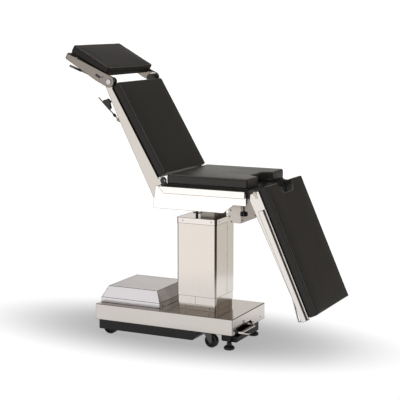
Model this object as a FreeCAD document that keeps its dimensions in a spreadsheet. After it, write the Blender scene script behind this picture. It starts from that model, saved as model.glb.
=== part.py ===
import FreeCAD, Part
import math
import os

import Sketcher

# Mobile operating table. Millimetres, +Z up, +X towards the leg end, -Y the patient's right-hand side.
# The origin is on the floor under the axis of the lifting column.
SIZES = {
    # Fits shared by many pieces
    "running_fit": 0.1,
    "soft_gap": 0.3,
    "push_fit": 0.05,
    "overlap": 1,
    # Wheeled base
    "cover_length": 892,
    "cover_width": 463,
    "cover_foot_end": 273,
    "cover_bottom": 97,
    "cover_top": 190,
    "cover_wall": 2,
    "cover_edge_radius": 5,
    "pedal_gate_side_inset": 36.5,
    "pedal_gate_far": 42,
    "pedal_gate_top": 131,
    "pedal_gate_corner": 16,
    "chassis_gap": 0.3,
    "chassis_bottom": 100,
    "chassis_top": 130,
    "plinth_side_inset": 15.5,
    "plinth_bottom": 38,
    "plinth_inset": 14,
    "plinth_foot_end": 14,
    "plinth_chamfer_run": 30,
    "plinth_chamfer_rise": 29,
    "tray_side_gap": 20,
    "tray_bottom": 38,
    "tray_head_end": 168,
    "tray_foot_end": 268,
    "tray_slope": 6,
    "gate_floor_drop": 30,
    # Hydraulic power unit and its cover
    "power_inset": 13,
    "power_length": 391,
    "power_half_width": 181,
    "power_band": 31,
    "power_height": 101.5,
    "power_slope_end": 45,
    "power_slope_foot": 22,
    "power_slope_side": 13,
    "pump_length": 250,
    "pump_radius": 38,
    "pump_tank_height": 52,
    "pump_tank_width": 190,
    "pump_motor_rise": 6,
    "pump_motor_length": 200,
    # Wheel section, shared by rear wheels and castors
    "wheel_hub_wall": 9,
    "wheel_dish": 3,
    "wheel_rim": 10,
    "wheel_shoulder": 3,
    "wheel_shoulder_drop": 4,
    # Rear wheels
    "wheel_radius": 45,
    "wheel_width": 32,
    "wheel_inset": 64,
    "wheel_side_inset": 54,
    "wheel_gap": 4,
    "axle_radius": 6,
    "axle_end": 22,
    # Swivel castors
    "castor_radius": 40,
    "castor_width": 28,
    "castor_x": 100,
    "castor_side_inset": 57.5,
    "castor_trail": 18,
    "castor_plate": 5,
    "castor_cheek": 3,
    "castor_side_gap": 2,
    "castor_top_gap": 3,
    "castor_stem_radius": 9,
    "castor_stem_depth": 27,
    "castor_stem_end_gap": 2,
    "castor_crown": 24,
    "castor_crown_corner": 8,
    "castor_race_radius": 22,
    "castor_eye": 11,
    "castor_eye_flat": 5,
    "castor_axle_overhang": 3,
    # Brake feet
    "brake_x": 226,
    "brake_side_inset": 61.5,
    "brake_pad_radius": 31,
    "brake_pad_height": 21,
    "brake_cone_radius": 13,
    "brake_cone_top": 46,
    "brake_pad_edge": 4,
    "brake_pad_slope": 7,
    "brake_pad_shoulder": 8,
    "brake_cone_flare": 3,
    "brake_spindle_radius": 7,
    "brake_spindle_short": 3,
    # Foot pedals
    "pedal_shaft_x": 236,
    "pedal_shaft_z": 122,
    "pedal_shaft_radius": 7,
    "pedal_shaft_gap": 20,
    "pedal_shaft_far": 50,
    "pedal_arm_y": -12,
    "pedal_arm_width": 12,
    "pedal_arm_height": 16,
    "pedal_hub_radius": 13,
    "pedal_reach": 66,
    "pedal_tread_gap": 11,
    "pedal_tread_width": 26,
    "pedal_tread_thickness": 7,
    "pedal_drop": 9,
    "pedal_post_radius": 6,
    "pedal_post_height": 22,
    "release_y": -104,
    "release_reach": 84,
    "release_width": 20,
    "release_thickness": 7,
    "release_drop": 40,
    "pedal_bracket_width": 14,
    # Telescopic column
    "casing_head_end": -131,
    "casing_foot_end": 120,
    "casing_half_width": 124.4,
    "casing_bottom": 273,
    "casing_top": 722,
    "casing_wall": 2,
    "casing_edge_radius": 13,
    "cap_band": 33,
    "cap_plate": 8,
    "cap_lip": 1.5,
    "skirt_gap": 0.3,
    "skirt_wall": 2.5,
    "skirt_bottom": 225.5,
    "skirt_height": 330,
    "collar_gap": 2.2,
    "collar_wall": 3,
    "collar_height": 210,
    "screw_radius": 4,
    "screw_head": 1.6,
    "screw_dome_radius": 5.2,
    "screw_end_inset": 45,
    "cap_screw_head_inset": 40,
    "cap_screw_foot_inset": 30,
    "collar_screw_head_inset": 55,
    "collar_screw_foot_inset": 45,
    "cover_screw_inset": 70,
    "cover_screw_rise": 22,
    "cylinder_radius": 62,
    "cylinder_top": 600,
    "cylinder_floor": 14,
    "ram_radius": 44,
    "ram_bottom": 230,
    # Tilt head
    "head_block_start": 0,
    "head_block_end": 89,
    "head_block_half_width": 80,
    "head_block_height": 92,
    "head_block_round": 16,
    "trend_x": 45,
    "trend_drop": 22,
    "trend_pin_radius": 15,
    "cradle_cheek": 14,
    "cradle_gap": 1.5,
    "cradle_ear_radius": 30,
    "cradle_head_end": -25,
    "cradle_foot_end": 115,
    "cradle_rise": 42,
    "cradle_plate": 14,
    "roll_rise": 38,
    "roll_pin_radius": 12,
    "roll_lug_radius": 22,
    "roll_lug_crown": 13,
    "roll_lug_crown_rise": 17.5,
    "tilt_ram_x": -18,
    "tilt_ram_y": -90,
    "tilt_ram_radius": 7.5,
    "tilt_ram_clearance": 4,
    "tilt_ram_tip": 6.5,
    "tilt_ram_depth": 39,
    "tilt_ram_cross_rise": 27,
    "tilt_ram_cross_length": 44,
    "tilt_ram_cross_radius": 4,
    # Mattress, common to all sections
    "mattress_width": 520,
    "mattress_thickness": 52,
    "mattress_rise": 115.3,
    "mattress_radius": 6,
    "board_thickness": 12,
    "board_setback": 8,
    # Seat section
    "seat_foot_end": 372,
    "seat_setback": 24,
    "seat_notch_near": -106,
    "seat_notch_far": 94,
    "seat_notch_depth": 57,
    "seat_notch_corner": 30,
    "seat_spacer_length": 11,
    "seat_plate_thickness": 4,
    "seat_plate_drop": 68.3,
    "seat_plate_height": 127,
    "seat_plate_reach": 56.3,
    "seat_plate_top_inset": 18,
    "seat_plate_setback": 1,
    "seat_plate_step_length": 136,
    "seat_plate_step_run": 60,
    "seat_plate_step_rise": 48,
    "seat_plate_edge": 10,
    "seat_plate_corner": 5,
    "seat_lip_depth": 2,
    "seat_frame_side_inset": 2,
    "seat_frame_tube": 40,
    "seat_frame_height": 46,
    "seat_frame_inset": 25.7,
    "seat_spacer_radius": 14,
    "seat_hanger_thickness": 16,
    "seat_hanger_gap": 12,
    "seat_hanger_width": 90,
    "lug_thickness": 11,
    "back_lug_radius": 19,
    "back_lug_neck": 17,
    "back_lug_heel": 10,
    "back_lug_drop": 38,
    "leg_lug_radius": 18,
    "rail_gap": 11,
    "rail_thickness": 10,
    "rail_height": 38,
    "rail_rise": 2,
    "rail_reach": 10.3,
    "rail_mitre": 34,
    "rail_post_radius": 8,
    "housing_length": 78,
    "housing_inset": 7,
    "housing_half_width": 113,
    "housing_height": 166,
    "housing_wall": 2,
    "housing_flange": 4,
    "housing_flange_inset": 2,
    "knob_inset": 18,
    "knob_side_offset": 3,
    "knob_radius": 22,
    "knob_height": 24,
    "knob_reach": 66,
    "knob_lobe_radius": 8,
    "knob_lobe_drop": 4,
    "knob_lobes": 6,
    "knob_rod_radius": 4,
    "knob_rod_end_gap": 9,
    "knob_block_height": 27,
    "knob_block_length": 26,
    "knob_block_depth": 12,
    "knob_bore_end_gap": 2,
    # Back section, measured flat from its hinge
    "back_pivot_x": -149.7,
    "back_pivot_drop": 37.3,
    "back_angle": 59.5,
    "back_length": 592,
    "back_plate_clearance": 1,
    "back_plate_thickness": 6,
    "back_heel_reach": 73,
    "back_heel_drop": 98,
    "back_toe_reach": 15,
    "back_toe_drop": 6,
    "back_disc_blend": 12,
    "back_waist_inset": 196,
    "back_waist_drop": 68.6,
    "back_plate_gap": 2,
    "back_tube_radius": 18,
    "back_tube_wall": 3,
    "back_tube_x": 330,
    "back_tube_drop": 48,
    "hinge_pin_radius": 8,
    "hinge_head_radius": 11,
    "hinge_head_height": 3,
    "lever_bracket": 5,
    "lever_pin_radius": 4,
    "lever_hub_radius": 10,
    "lever_hub_length": 14,
    "bracket_eye": 12,
    "bracket_eye_drop": 8,
    "back_bracket_root": 40,
    "back_lever_inset": 183,
    "back_lever_drop": 87,
    "back_lever_side_inset": 22,
    "back_lever_length": 179,
    "back_lever_angle": 16,
    "back_lever_radius": 3.5,
    "back_grip_start": 82,
    "back_grip_length": 65,
    "back_grip_thickness": 16,
    "grip_lip": 5,
    "grip_root": 11,
    "grip_waist": 24,
    "grip_crest": 37,
    "grip_crest_start": 27,
    "grip_crest_end": 14,
    "grip_flare": 5,
    "grip_nose": 13,
    # Head section, measured flat from its hinge
    "head_hinge_reach": 26,
    "head_hinge_drop": 12.7,
    "head_angle": 29,
    "head_disc_radius": 33,
    "head_arm_thickness": 6,
    "head_arm_gap": 1.5,
    "head_setback": 41,
    "head_length": 267,
    "head_thickness": 47,
    "head_top": 66.7,
    "head_arm_overrun": 1,
    "head_arm_end_top": 4,
    "head_arm_end_bottom": 28,
    "head_arm_root_x": 75,
    "head_arm_root_drop": 37,
    "head_bar_thickness": 5,
    "head_bar_flange": 30,
    "head_bar_height": 32,
    "head_rib_inset": 60,
    "head_bracket_root": 30,
    "barrel_radius": 23,
    "barrel_length": 44,
    "head_lever_x": 122,
    "head_lever_drop": 48,
    "head_lever_side_inset": 60,
    "head_lever_length": 184,
    "head_lever_angle": 8.5,
    "head_lever_radius": 4.5,
    "head_tip_length": 40,
    "head_tip_radius": 7,
    # Leg section, measured flat from its hinge
    "leg_pivot_reach": 49.1,
    "leg_pivot_drop": 78.3,
    "leg_angle": 66,
    "leg_setback": 18.8,
    "leg_length": 751,
    "leg_eye_radius": 13.5,
    "leg_notch_half_width": 100,
    "leg_notch_depth": 64,
    "leg_notch_corner": 34,
    "leg_plate_thickness": 6,
    "leg_plate_overrun": 5.8,
    "leg_plate_root_x": 24,
    "leg_plate_root_drop": 43,
    "leg_plate_waist_x": 127,
    "leg_plate_waist_drop": 39,
    "leg_plate_end_drop": 16,
    "leg_plate_start": -8,
    "leg_plate_start_drop": 27,
    "leg_rail_start": 96,
    "leg_rail_top": 14,
    "leg_rail_height": 28,
    "leg_rail_gap": 5,
    "leg_board_inset": 16,
    "leg_board_shoulder": 40,
    "bail_reach": 312.2,
    "bail_drop": 10,
    "bail_overrun": 3.8,
    "bail_end_drop": 53,
    "bail_side_inset": 29,
    "bail_radius": 4,
    "bail_bend": 14,
}

# Places that follow from the sizes above, so that neighbouring pieces move together.
PLACES = {
    # Base
    "cover_head_end": "cover_foot_end - cover_length",
    "plinth_width": "cover_width - 2 * plinth_side_inset",
    "power_head_end": "cover_head_end + power_inset",
    "power_foot_end": "power_head_end + power_length",
    "wheel_x": "cover_head_end + wheel_inset",
    "wheel_y": "plinth_width / 2 - wheel_side_inset",
    "axle_length": "2 * wheel_y + wheel_width + 2 * axle_end",
    "castor_y": "cover_width / 2 - castor_side_inset",
    "brake_y": "cover_width / 2 - brake_side_inset",
    "tray_width": "2 * (brake_y - tray_side_gap)",
    "pedal_gate_near": "pedal_gate_side_inset - cover_width / 2",
    "pedal_shaft_near": "pedal_shaft_gap - brake_y",
    "pedal_tread_length": "pedal_arm_y - pedal_gate_near - pedal_tread_gap",
    # Corners of the nested column covers, each inside the next
    "skirt_corner": "casing_edge_radius - casing_wall - skirt_gap",
    "collar_corner": "skirt_corner - skirt_wall - collar_gap",
    # Tilt head, from the column cap upwards
    "cap_top": "casing_top + cap_plate",
    "head_block_top": "cap_top + head_block_height",
    "trend_z": "head_block_top - trend_drop",
    "cradle_plate_bottom": "trend_z + cradle_rise",
    "roll_z": "cradle_plate_bottom + roll_rise",
    "tilt_ram_top": "cradle_plate_bottom - tilt_ram_clearance",
    "tilt_ram_bottom": "cap_top - tilt_ram_depth",
    "tilt_ram_cross_z": "cap_top + tilt_ram_cross_rise",
    # Heights in the seat
    "mattress_top": "roll_z + mattress_rise",
    "seat_under": "mattress_top - mattress_thickness",
    "frame_top": "seat_under - soft_gap - board_thickness",
    "frame_bottom": "frame_top - seat_frame_height",
    "back_pivot_z": "mattress_top - back_pivot_drop",
    "leg_pivot_z": "mattress_top - leg_pivot_drop",
    "seat_plate_top": "mattress_top - seat_plate_drop",
    "seat_plate_bottom": "seat_plate_top - seat_plate_height",
    "rail_top": "seat_plate_top + rail_rise",
    "housing_bottom": "frame_bottom - housing_height",
    "knob_block_bottom": "frame_bottom - knob_block_height",
    "knob_bottom": "knob_block_bottom - knob_reach",
    "knob_rod_top": "frame_bottom - knob_rod_end_gap",
    # Along the seat
    "seat_head_end": "back_pivot_x + seat_setback",
    "seat_frame_head_end": "back_pivot_x + seat_frame_inset",
    "seat_plate_head_end": "back_pivot_x - seat_plate_reach",
    "rail_head_end": "back_pivot_x - rail_reach",
    "seat_plate_foot_end": "seat_foot_end - seat_plate_setback",
    "seat_plate_step": "seat_plate_foot_end - seat_plate_step_length",
    "foot_bar": "seat_foot_end - seat_notch_depth - seat_frame_tube",
    "housing_foot_end": "foot_bar - housing_inset",
    "housing_head_end": "housing_foot_end - housing_length",
    "knob_x": "seat_foot_end - knob_inset",
    "leg_pivot_x": "seat_foot_end + leg_pivot_reach",
    # Layers across the width, from the mattress outwards
    "seat_frame_half_width": "mattress_width / 2 - seat_frame_side_inset",
    "seat_plate_inner": "seat_frame_half_width + seat_spacer_length",
    "knob_y": "seat_frame_half_width + knob_side_offset",
    "back_plate_inner": "mattress_width / 2 + back_plate_clearance",
    "back_lever_y": "mattress_width / 2 - back_lever_side_inset",
    "head_lever_y": "mattress_width / 2 - head_lever_side_inset",
    "bail_half_width": "back_plate_inner - bail_side_inset",
    # Along the back, head and leg sections, each measured flat from its hinge
    "back_reach": "seat_setback + back_length",
    "back_waist_x": "back_reach - back_waist_inset",
    "back_lever_x": "back_reach - back_lever_inset",
    "head_hinge_x": "back_reach + head_hinge_reach",
    "head_arm_length": "head_setback + head_length + head_arm_overrun",
    "leg_reach": "leg_length - leg_setback",
    "leg_plate_end": "leg_reach + leg_plate_overrun",
    "bail_x": "leg_reach - bail_reach",
    "bail_end_x": "leg_reach + bail_overrun",
}

doc = FreeCAD.newDocument("OperatingTable")
sheet = doc.addObject("Spreadsheet::Sheet", "dim")
rows = [(alias, str(value)) for alias, value in SIZES.items()]
rows += [(alias, "=" + formula) for alias, formula in PLACES.items()]
for row, (alias, content) in enumerate(rows, start=1):
    sheet.set("A%d" % row, alias)
    sheet.set("B%d" % row, content)
    sheet.setAlias("B%d" % row, alias)
doc.recompute()

nodes = []


def size(alias):
    """One size or place, read from the sheet."""
    return float(sheet.get(alias))


# How near to a level, in mm, an edge counts as lying on it.
NEAR = 0.5


def new_body(label):
    """An empty body that becomes one sub-part of the table."""
    body = doc.addObject("PartDesign::Body", label)
    body.Label = label
    nodes.append(body)
    return body


def sketch_on(body, plane, offset="0"):
    """A sketch on one of the body's own origin planes, moved along the plane's normal."""
    sketch = body.newObject("Sketcher::SketchObject", "Sketch")
    support = [f for f in body.Origin.OriginFeatures if f.Role == plane][0]
    sketch.AttachmentSupport = (support, [""])
    sketch.MapMode = "FlatFace"
    sketch.setExpression("AttachmentOffset.Base.z", offset)
    return sketch


def polygon(sketch, points):
    """A closed outline whose corners are bound to expressions."""
    first = sketch.GeometryCount
    count = len(points)
    ring = []
    for i in range(count):
        turn = 2 * math.pi * i / count
        ring.append(FreeCAD.Vector(20 * math.cos(turn), 20 * math.sin(turn), 0))
    sketch.addGeometry([Part.LineSegment(ring[i], ring[(i + 1) % count]) for i in range(count)], False)
    joins = []
    for i in range(count):
        joins.append(Sketcher.Constraint("Coincident", first + i, 2, first + (i + 1) % count, 1))
    sketch.addConstraint(joins)
    for i, (across, up) in enumerate(points):
        for kind, expression, start in (("DistanceX", across, ring[i].x), ("DistanceY", up, ring[i].y)):
            index = sketch.addConstraint(Sketcher.Constraint(kind, first + i, 1, start))
            sketch.setExpression("Constraints[%d]" % index, expression)


def rectangle(sketch, left, right, low, high):
    """A closed rectangle between four bound sides."""
    polygon(sketch, [(left, low), (right, low), (right, high), (left, high)])


def circle(sketch, across, up, radius):
    """A circle with bound centre and radius."""
    index = sketch.addGeometry(Part.Circle(FreeCAD.Vector(1, 1, 0), FreeCAD.Vector(0, 0, 1), 5), False)
    for kind, expression in (("DistanceX", across), ("DistanceY", up)):
        row = sketch.addConstraint(Sketcher.Constraint(kind, index, 3, 1.0))
        sketch.setExpression("Constraints[%d]" % row, expression)
    row = sketch.addConstraint(Sketcher.Constraint("Radius", index, 5.0))
    sketch.setExpression("Constraints[%d]" % row, radius)


def pad(body, sketch, length, symmetric=False, flip=False):
    """Material added along the sketch's normal, or half to each side of it."""
    feature = body.newObject("PartDesign::Pad", "Pad")
    feature.Profile = sketch
    feature.SideType = "Symmetric" if symmetric else "One side"
    feature.Reversed = flip
    feature.setExpression("Length", length)
    sketch.Visibility = False
    return feature


def pocket(body, sketch, depth, symmetric=False, flip=False):
    """Material taken away; a cut that meets nothing stops the build."""
    doc.recompute()
    before = body.Shape.Volume
    feature = body.newObject("PartDesign::Pocket", "Pocket")
    feature.Profile = sketch
    feature.SideType = "Symmetric" if symmetric else "One side"
    feature.Reversed = flip
    feature.setExpression("Length", depth)
    doc.recompute()
    if body.Shape.Volume > before - 1:
        raise RuntimeError("a pocket cuts nothing in " + body.Label)
    return feature


def revolve(body, sketch, axis="V_Axis"):
    """A full turn of the sketch about one of its own axes."""
    feature = body.newObject("PartDesign::Revolution", "Revolution")
    feature.Profile = sketch
    feature.ReferenceAxis = (sketch, [axis])
    feature.Angle = 360
    return feature


def fillet(body, radius, test):
    """Rounds the edges of the body that pass the test."""
    doc.recompute()
    tip = body.Tip
    chosen = ["Edge%d" % (i + 1) for i, edge in enumerate(tip.Shape.Edges) if test(edge)]
    if not chosen:
        raise RuntimeError("no edge to round in " + body.Label)
    feature = body.newObject("PartDesign::Fillet", "Fillet")
    feature.Base = (tip, chosen)
    feature.setExpression("Radius", radius)
    return feature


def runs_along(direction):
    """A test for straight edges along a direction."""
    direction = FreeCAD.Vector(*direction)

    def test(edge):
        if edge.Curve.TypeId != "Part::GeomLine":
            return False
        return abs(abs(edge.tangentAt(edge.FirstParameter).dot(direction)) - 1) < 1e-6

    return test


def at_level(level):
    """A test for edges whose middle lies at a height or above it, in the body's own frame."""
    return lambda edge: edge.CenterOfMass.z > level - NEAR


UPRIGHT = runs_along((0, 0, 1))
ACROSS = runs_along((0, 1, 0))


def round_bends(body, inner_radius, outer_radius):
    """Rounds the upright bends of a sleeve, the inner ones first, so that its wall stays whole."""
    doc.recompute()
    box = body.Shape.BoundBox

    def inside(edge):
        middle = edge.CenterOfMass
        return (box.XMin + NEAR < middle.x < box.XMax - NEAR
                and box.YMin + NEAR < middle.y < box.YMax - NEAR)

    fillet(body, inner_radius, lambda edge: UPRIGHT(edge) and inside(edge))
    fillet(body, outer_radius, lambda edge: UPRIGHT(edge) and not inside(edge))


def place(piece, x=0.0, y=0.0, z=0.0, pitch=0.0):
    """Puts a piece at a point, turned about Y."""
    turn = FreeCAD.Rotation(FreeCAD.Vector(0, 1, 0), pitch)
    piece.Placement = FreeCAD.Placement(FreeCAD.Vector(x, y, z), turn)
    return piece


def across_side(side, inner, outer):
    """The low and high Y limits of a layer between two distances from the middle plane."""
    return (inner, outer) if side > 0 else ("-(%s)" % outer, "-(%s)" % inner)


def side_offset(side, inner, thickness):
    """Sketch offset on the XZ plane, whose normal is -Y, for a layer that starts at a distance inner."""
    return inner if side < 0 else "-(%s + %s)" % (inner, thickness)


# The insides of the base cover's end walls.
HEAD_WALL = "(dim.cover_head_end + dim.cover_wall)"
FOOT_WALL = "(dim.cover_foot_end - dim.cover_wall)"

# The three column covers nest: each is the next one out, less a gap and its own wall.
SKIRT_STEP = "dim.casing_wall - dim.skirt_gap"
COLLAR_STEP = "dim.casing_wall - dim.skirt_gap - dim.skirt_wall - dim.collar_gap"
SKIRT_HEAD = "(dim.casing_head_end + dim.casing_wall + dim.skirt_gap)"
SKIRT_FOOT = "(dim.casing_foot_end - %s)" % SKIRT_STEP
SKIRT_SIDE = "(dim.casing_half_width - %s)" % SKIRT_STEP
COLLAR_HEAD = "(dim.casing_head_end + dim.casing_wall + dim.skirt_gap + dim.skirt_wall + dim.collar_gap)"
COLLAR_FOOT = "(dim.casing_foot_end - %s)" % COLLAR_STEP
COLLAR_SIDE = "(dim.casing_half_width - %s)" % COLLAR_STEP
COLUMN_MIDDLE = "((dim.casing_head_end + dim.casing_foot_end) / 2)"

# Layers and lengths in the seat.
LUG_INNER = "(dim.seat_frame_half_width - dim.lug_thickness)"
PLATE_OUTER = "(dim.seat_plate_inner + dim.seat_plate_thickness)"
HANGER = "(dim.seat_hanger_gap + dim.seat_hanger_thickness)"
CRADLE_LENGTH = "(dim.cradle_foot_end - dim.cradle_head_end)"

# Heights in the back, head and leg sections, measured flat from each hinge.
BACK_UNDER = "(dim.mattress_top - dim.back_pivot_z - dim.mattress_thickness)"
BACK_BOARD = "(%s - dim.soft_gap)" % BACK_UNDER
BACK_END = "(-dim.back_reach)"
HEAD_UNDER = "(dim.head_top - dim.head_thickness)"
HEAD_BOARD = "(%s - dim.soft_gap - dim.board_thickness)" % HEAD_UNDER
HEAD_END = "(-dim.head_setback - dim.head_length)"
ARM_INNER = "(dim.back_plate_inner + dim.back_plate_thickness + dim.head_arm_gap)"
LEG_UNDER = "(dim.mattress_top - dim.leg_pivot_z - dim.mattress_thickness)"
LEG_BOARD = "(%s - dim.soft_gap)" % LEG_UNDER
LEG_PLATE_OUTER = "(dim.back_plate_inner + dim.leg_plate_thickness)"

# Where the stand-off posts stand, as shares of a rail's length.
SEAT_RAIL_POSTS = (0.14, 0.55, 0.92)
LEG_RAIL_POSTS = (0.06, 0.5, 0.94)

SIDES = ((-1, "right"), (1, "left"))


def rod(label, points, radius, bend):
    """A round bar bent along straight runs, with equal bends between them."""
    points = [FreeCAD.Vector(*p) for p in points]
    edges = []
    start = points[0]
    for i in range(1, len(points) - 1):
        here = points[i]
        back = (points[i - 1] - here).normalize()
        ahead = (points[i + 1] - here).normalize()
        half = back.getAngle(ahead) / 2
        cut = bend / math.tan(half)
        middle = here + (back + ahead).normalize() * (bend / math.sin(half) - bend)
        edges.append(Part.LineSegment(start, here + back * cut).toShape())
        edges.append(Part.Arc(here + back * cut, middle, here + ahead * cut).toShape())
        start = here + ahead * cut
    edges.append(Part.LineSegment(start, points[-1]).toShape())
    path = Part.Wire(edges)
    ring = Part.Wire([Part.Circle(points[0], points[1] - points[0], radius).toShape()])
    piece = doc.addObject("Part::Feature", label)
    piece.Label = label
    piece.Shape = path.makePipeShell([ring], True, True)
    nodes.append(piece)
    return piece


def base_cover():
    """Pressed sheet cover, open below, with the column opening and the pedal gate."""
    body = new_body("base_cover")
    outer = sketch_on(body, "XY_Plane", "dim.cover_bottom")
    rectangle(outer, "dim.cover_head_end", "dim.cover_foot_end",
              "-dim.cover_width / 2", "dim.cover_width / 2")
    pad(body, outer, "dim.cover_top - dim.cover_bottom")
    top = at_level(size("cover_top"))
    fillet(body, "dim.cover_edge_radius", lambda edge: UPRIGHT(edge) or top(edge))
    inner = sketch_on(body, "XY_Plane", "dim.cover_bottom")
    rectangle(inner, HEAD_WALL, FOOT_WALL,
              "-dim.cover_width / 2 + dim.cover_wall", "dim.cover_width / 2 - dim.cover_wall")
    pocket(body, inner, "dim.cover_top - dim.cover_bottom - dim.cover_wall", flip=True)
    hole = sketch_on(body, "XY_Plane", "dim.cover_top")
    rectangle(hole, COLLAR_HEAD + " - dim.running_fit", COLLAR_FOOT + " + dim.running_fit",
              "-(%s) - dim.running_fit" % COLLAR_SIDE, COLLAR_SIDE + " + dim.running_fit")
    pocket(body, hole, "2 * dim.cover_wall")
    gate = sketch_on(body, "YZ_Plane", "dim.cover_foot_end")
    polygon(gate, [
        ("dim.pedal_gate_near", "dim.cover_bottom - dim.overlap"),
        ("dim.pedal_gate_far", "dim.cover_bottom - dim.overlap"),
        ("dim.pedal_gate_far", "dim.pedal_gate_top - dim.pedal_gate_corner"),
        ("dim.pedal_gate_far - dim.pedal_gate_corner", "dim.pedal_gate_top"),
        ("dim.pedal_gate_near + dim.pedal_gate_corner", "dim.pedal_gate_top"),
        ("dim.pedal_gate_near", "dim.pedal_gate_top - dim.pedal_gate_corner"),
    ])
    pocket(body, gate, "2 * dim.cover_wall")


def column_sleeve(label, head, foot, half, bottom, height, wall, corner):
    """A rectangular sleeve of folded sheet, open at both ends, as thick in its bends as in its sides."""
    body = new_body(label)
    outer = sketch_on(body, "XY_Plane", bottom)
    rectangle(outer, head, foot, "-" + half, half)
    pad(body, outer, height)
    inner = sketch_on(body, "XY_Plane", bottom)
    rectangle(inner, "%s + %s" % (head, wall), "%s - %s" % (foot, wall),
              "-%s + %s" % (half, wall), "%s - %s" % (half, wall))
    pocket(body, inner, height, flip=True)
    round_bends(body, "%s - %s" % (corner, wall), corner)
    return body


def column_covers():
    """Outer casing, middle skirt and fixed collar, which slide into each other."""
    column_sleeve("column_casing", "dim.casing_head_end", "dim.casing_foot_end", "dim.casing_half_width",
                  "dim.casing_bottom", "dim.casing_top - dim.casing_bottom", "dim.casing_wall",
                  "dim.casing_edge_radius")
    column_sleeve("column_skirt", SKIRT_HEAD, SKIRT_FOOT, SKIRT_SIDE, "dim.skirt_bottom",
                  "dim.skirt_height", "dim.skirt_wall", "dim.skirt_corner")
    column_sleeve("column_collar", COLLAR_HEAD, COLLAR_FOOT, COLLAR_SIDE, "dim.chassis_top",
                  "dim.collar_height + dim.cover_top - dim.chassis_top", "dim.collar_wall",
                  "dim.collar_corner")


def column_cap():
    """Pressed lid over the casing, with a band folded down round its top."""
    body = new_body("column_cap")
    outer = sketch_on(body, "XY_Plane", "dim.casing_top - dim.cap_band + dim.cap_plate")
    rectangle(outer, "dim.casing_head_end - dim.cap_lip", "dim.casing_foot_end + dim.cap_lip",
              "-dim.casing_half_width - dim.cap_lip", "dim.casing_half_width + dim.cap_lip")
    pad(body, outer, "dim.cap_band")
    inner = sketch_on(body, "XY_Plane", "dim.casing_top - dim.cap_band + dim.cap_plate")
    rectangle(inner, "dim.casing_head_end - dim.push_fit", "dim.casing_foot_end + dim.push_fit",
              "-dim.casing_half_width - dim.push_fit", "dim.casing_half_width + dim.push_fit")
    pocket(body, inner, "dim.cap_band - dim.cap_plate", flip=True)
    round_bends(body, "dim.casing_edge_radius + dim.push_fit", "dim.casing_edge_radius + dim.cap_lip")
    hole = sketch_on(body, "XY_Plane", "dim.cap_top")
    circle(hole, "dim.tilt_ram_x", "dim.tilt_ram_y", "dim.tilt_ram_radius + dim.running_fit")
    pocket(body, hole, "dim.cap_plate")
    return body


def chassis():
    """Cast base frame: a deck, the deep plinth under its head half and a shallow tray at the foot."""
    body = new_body("chassis")
    deck = sketch_on(body, "XY_Plane", "dim.chassis_bottom")
    rectangle(deck, HEAD_WALL + " + dim.chassis_gap", FOOT_WALL + " - dim.chassis_gap",
              "-dim.cover_width / 2 + dim.cover_wall + dim.chassis_gap",
              "dim.cover_width / 2 - dim.cover_wall - dim.chassis_gap")
    pad(body, deck, "dim.chassis_top - dim.chassis_bottom")
    plinth = sketch_on(body, "XZ_Plane", "0")
    polygon(plinth, [
        (HEAD_WALL + " + dim.plinth_inset", "dim.plinth_bottom"),
        ("dim.plinth_foot_end", "dim.plinth_bottom"),
        ("dim.plinth_foot_end + dim.plinth_chamfer_run", "dim.plinth_bottom + dim.plinth_chamfer_rise"),
        ("dim.plinth_foot_end + dim.plinth_chamfer_run", "dim.chassis_bottom"),
        (HEAD_WALL + " + dim.plinth_inset", "dim.chassis_bottom"),
    ])
    pad(body, plinth, "dim.plinth_width", symmetric=True)
    tray = sketch_on(body, "XZ_Plane", "0")
    polygon(tray, [
        ("dim.tray_head_end + dim.tray_slope", "dim.tray_bottom"),
        ("dim.tray_foot_end - dim.tray_slope", "dim.tray_bottom"),
        ("dim.tray_foot_end", "dim.tray_bottom + dim.tray_slope"),
        ("dim.tray_foot_end", "dim.chassis_bottom"),
        ("dim.tray_head_end", "dim.chassis_bottom"),
        ("dim.tray_head_end", "dim.tray_bottom + dim.tray_slope"),
    ])
    pad(body, tray, "dim.tray_width", symmetric=True)
    gate = sketch_on(body, "XY_Plane", "dim.chassis_top")
    rectangle(gate, "dim.pedal_shaft_x - 2 * dim.pedal_hub_radius", "dim.cover_foot_end",
              "dim.pedal_shaft_near - dim.pedal_bracket_width / 2",
              "dim.pedal_shaft_far + dim.pedal_bracket_width / 2")
    pocket(body, gate, "dim.chassis_top - dim.chassis_bottom + dim.gate_floor_drop")
    for side, _ in SIDES:
        well = sketch_on(body, "XY_Plane", "dim.plinth_bottom")
        rectangle(well, "dim.wheel_x - dim.wheel_radius - dim.wheel_gap",
                  "dim.wheel_x + dim.wheel_radius + dim.wheel_gap",
                  "%d * dim.wheel_y - dim.wheel_width / 2 - dim.wheel_gap" % side,
                  "%d * dim.wheel_y + dim.wheel_width / 2 + dim.wheel_gap" % side)
        pocket(body, well, "2 * dim.wheel_radius + dim.wheel_gap - dim.plinth_bottom", flip=True)
        bores = sketch_on(body, "XY_Plane", "dim.chassis_bottom")
        circle(bores, "dim.castor_x", "%d * dim.castor_y" % side, "dim.castor_stem_radius + dim.running_fit")
        pocket(body, bores, "dim.castor_stem_depth", flip=True)
        foot = sketch_on(body, "XY_Plane", "dim.chassis_bottom")
        circle(foot, "dim.brake_x", "%d * dim.brake_y" % side, "dim.brake_spindle_radius + dim.running_fit")
        pocket(body, foot, "dim.chassis_top - dim.chassis_bottom", flip=True)
    axle = sketch_on(body, "XZ_Plane", "0")
    circle(axle, "dim.wheel_x", "dim.wheel_radius", "dim.axle_radius")
    pocket(body, axle, "dim.axle_length", symmetric=True)
    return body


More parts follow.
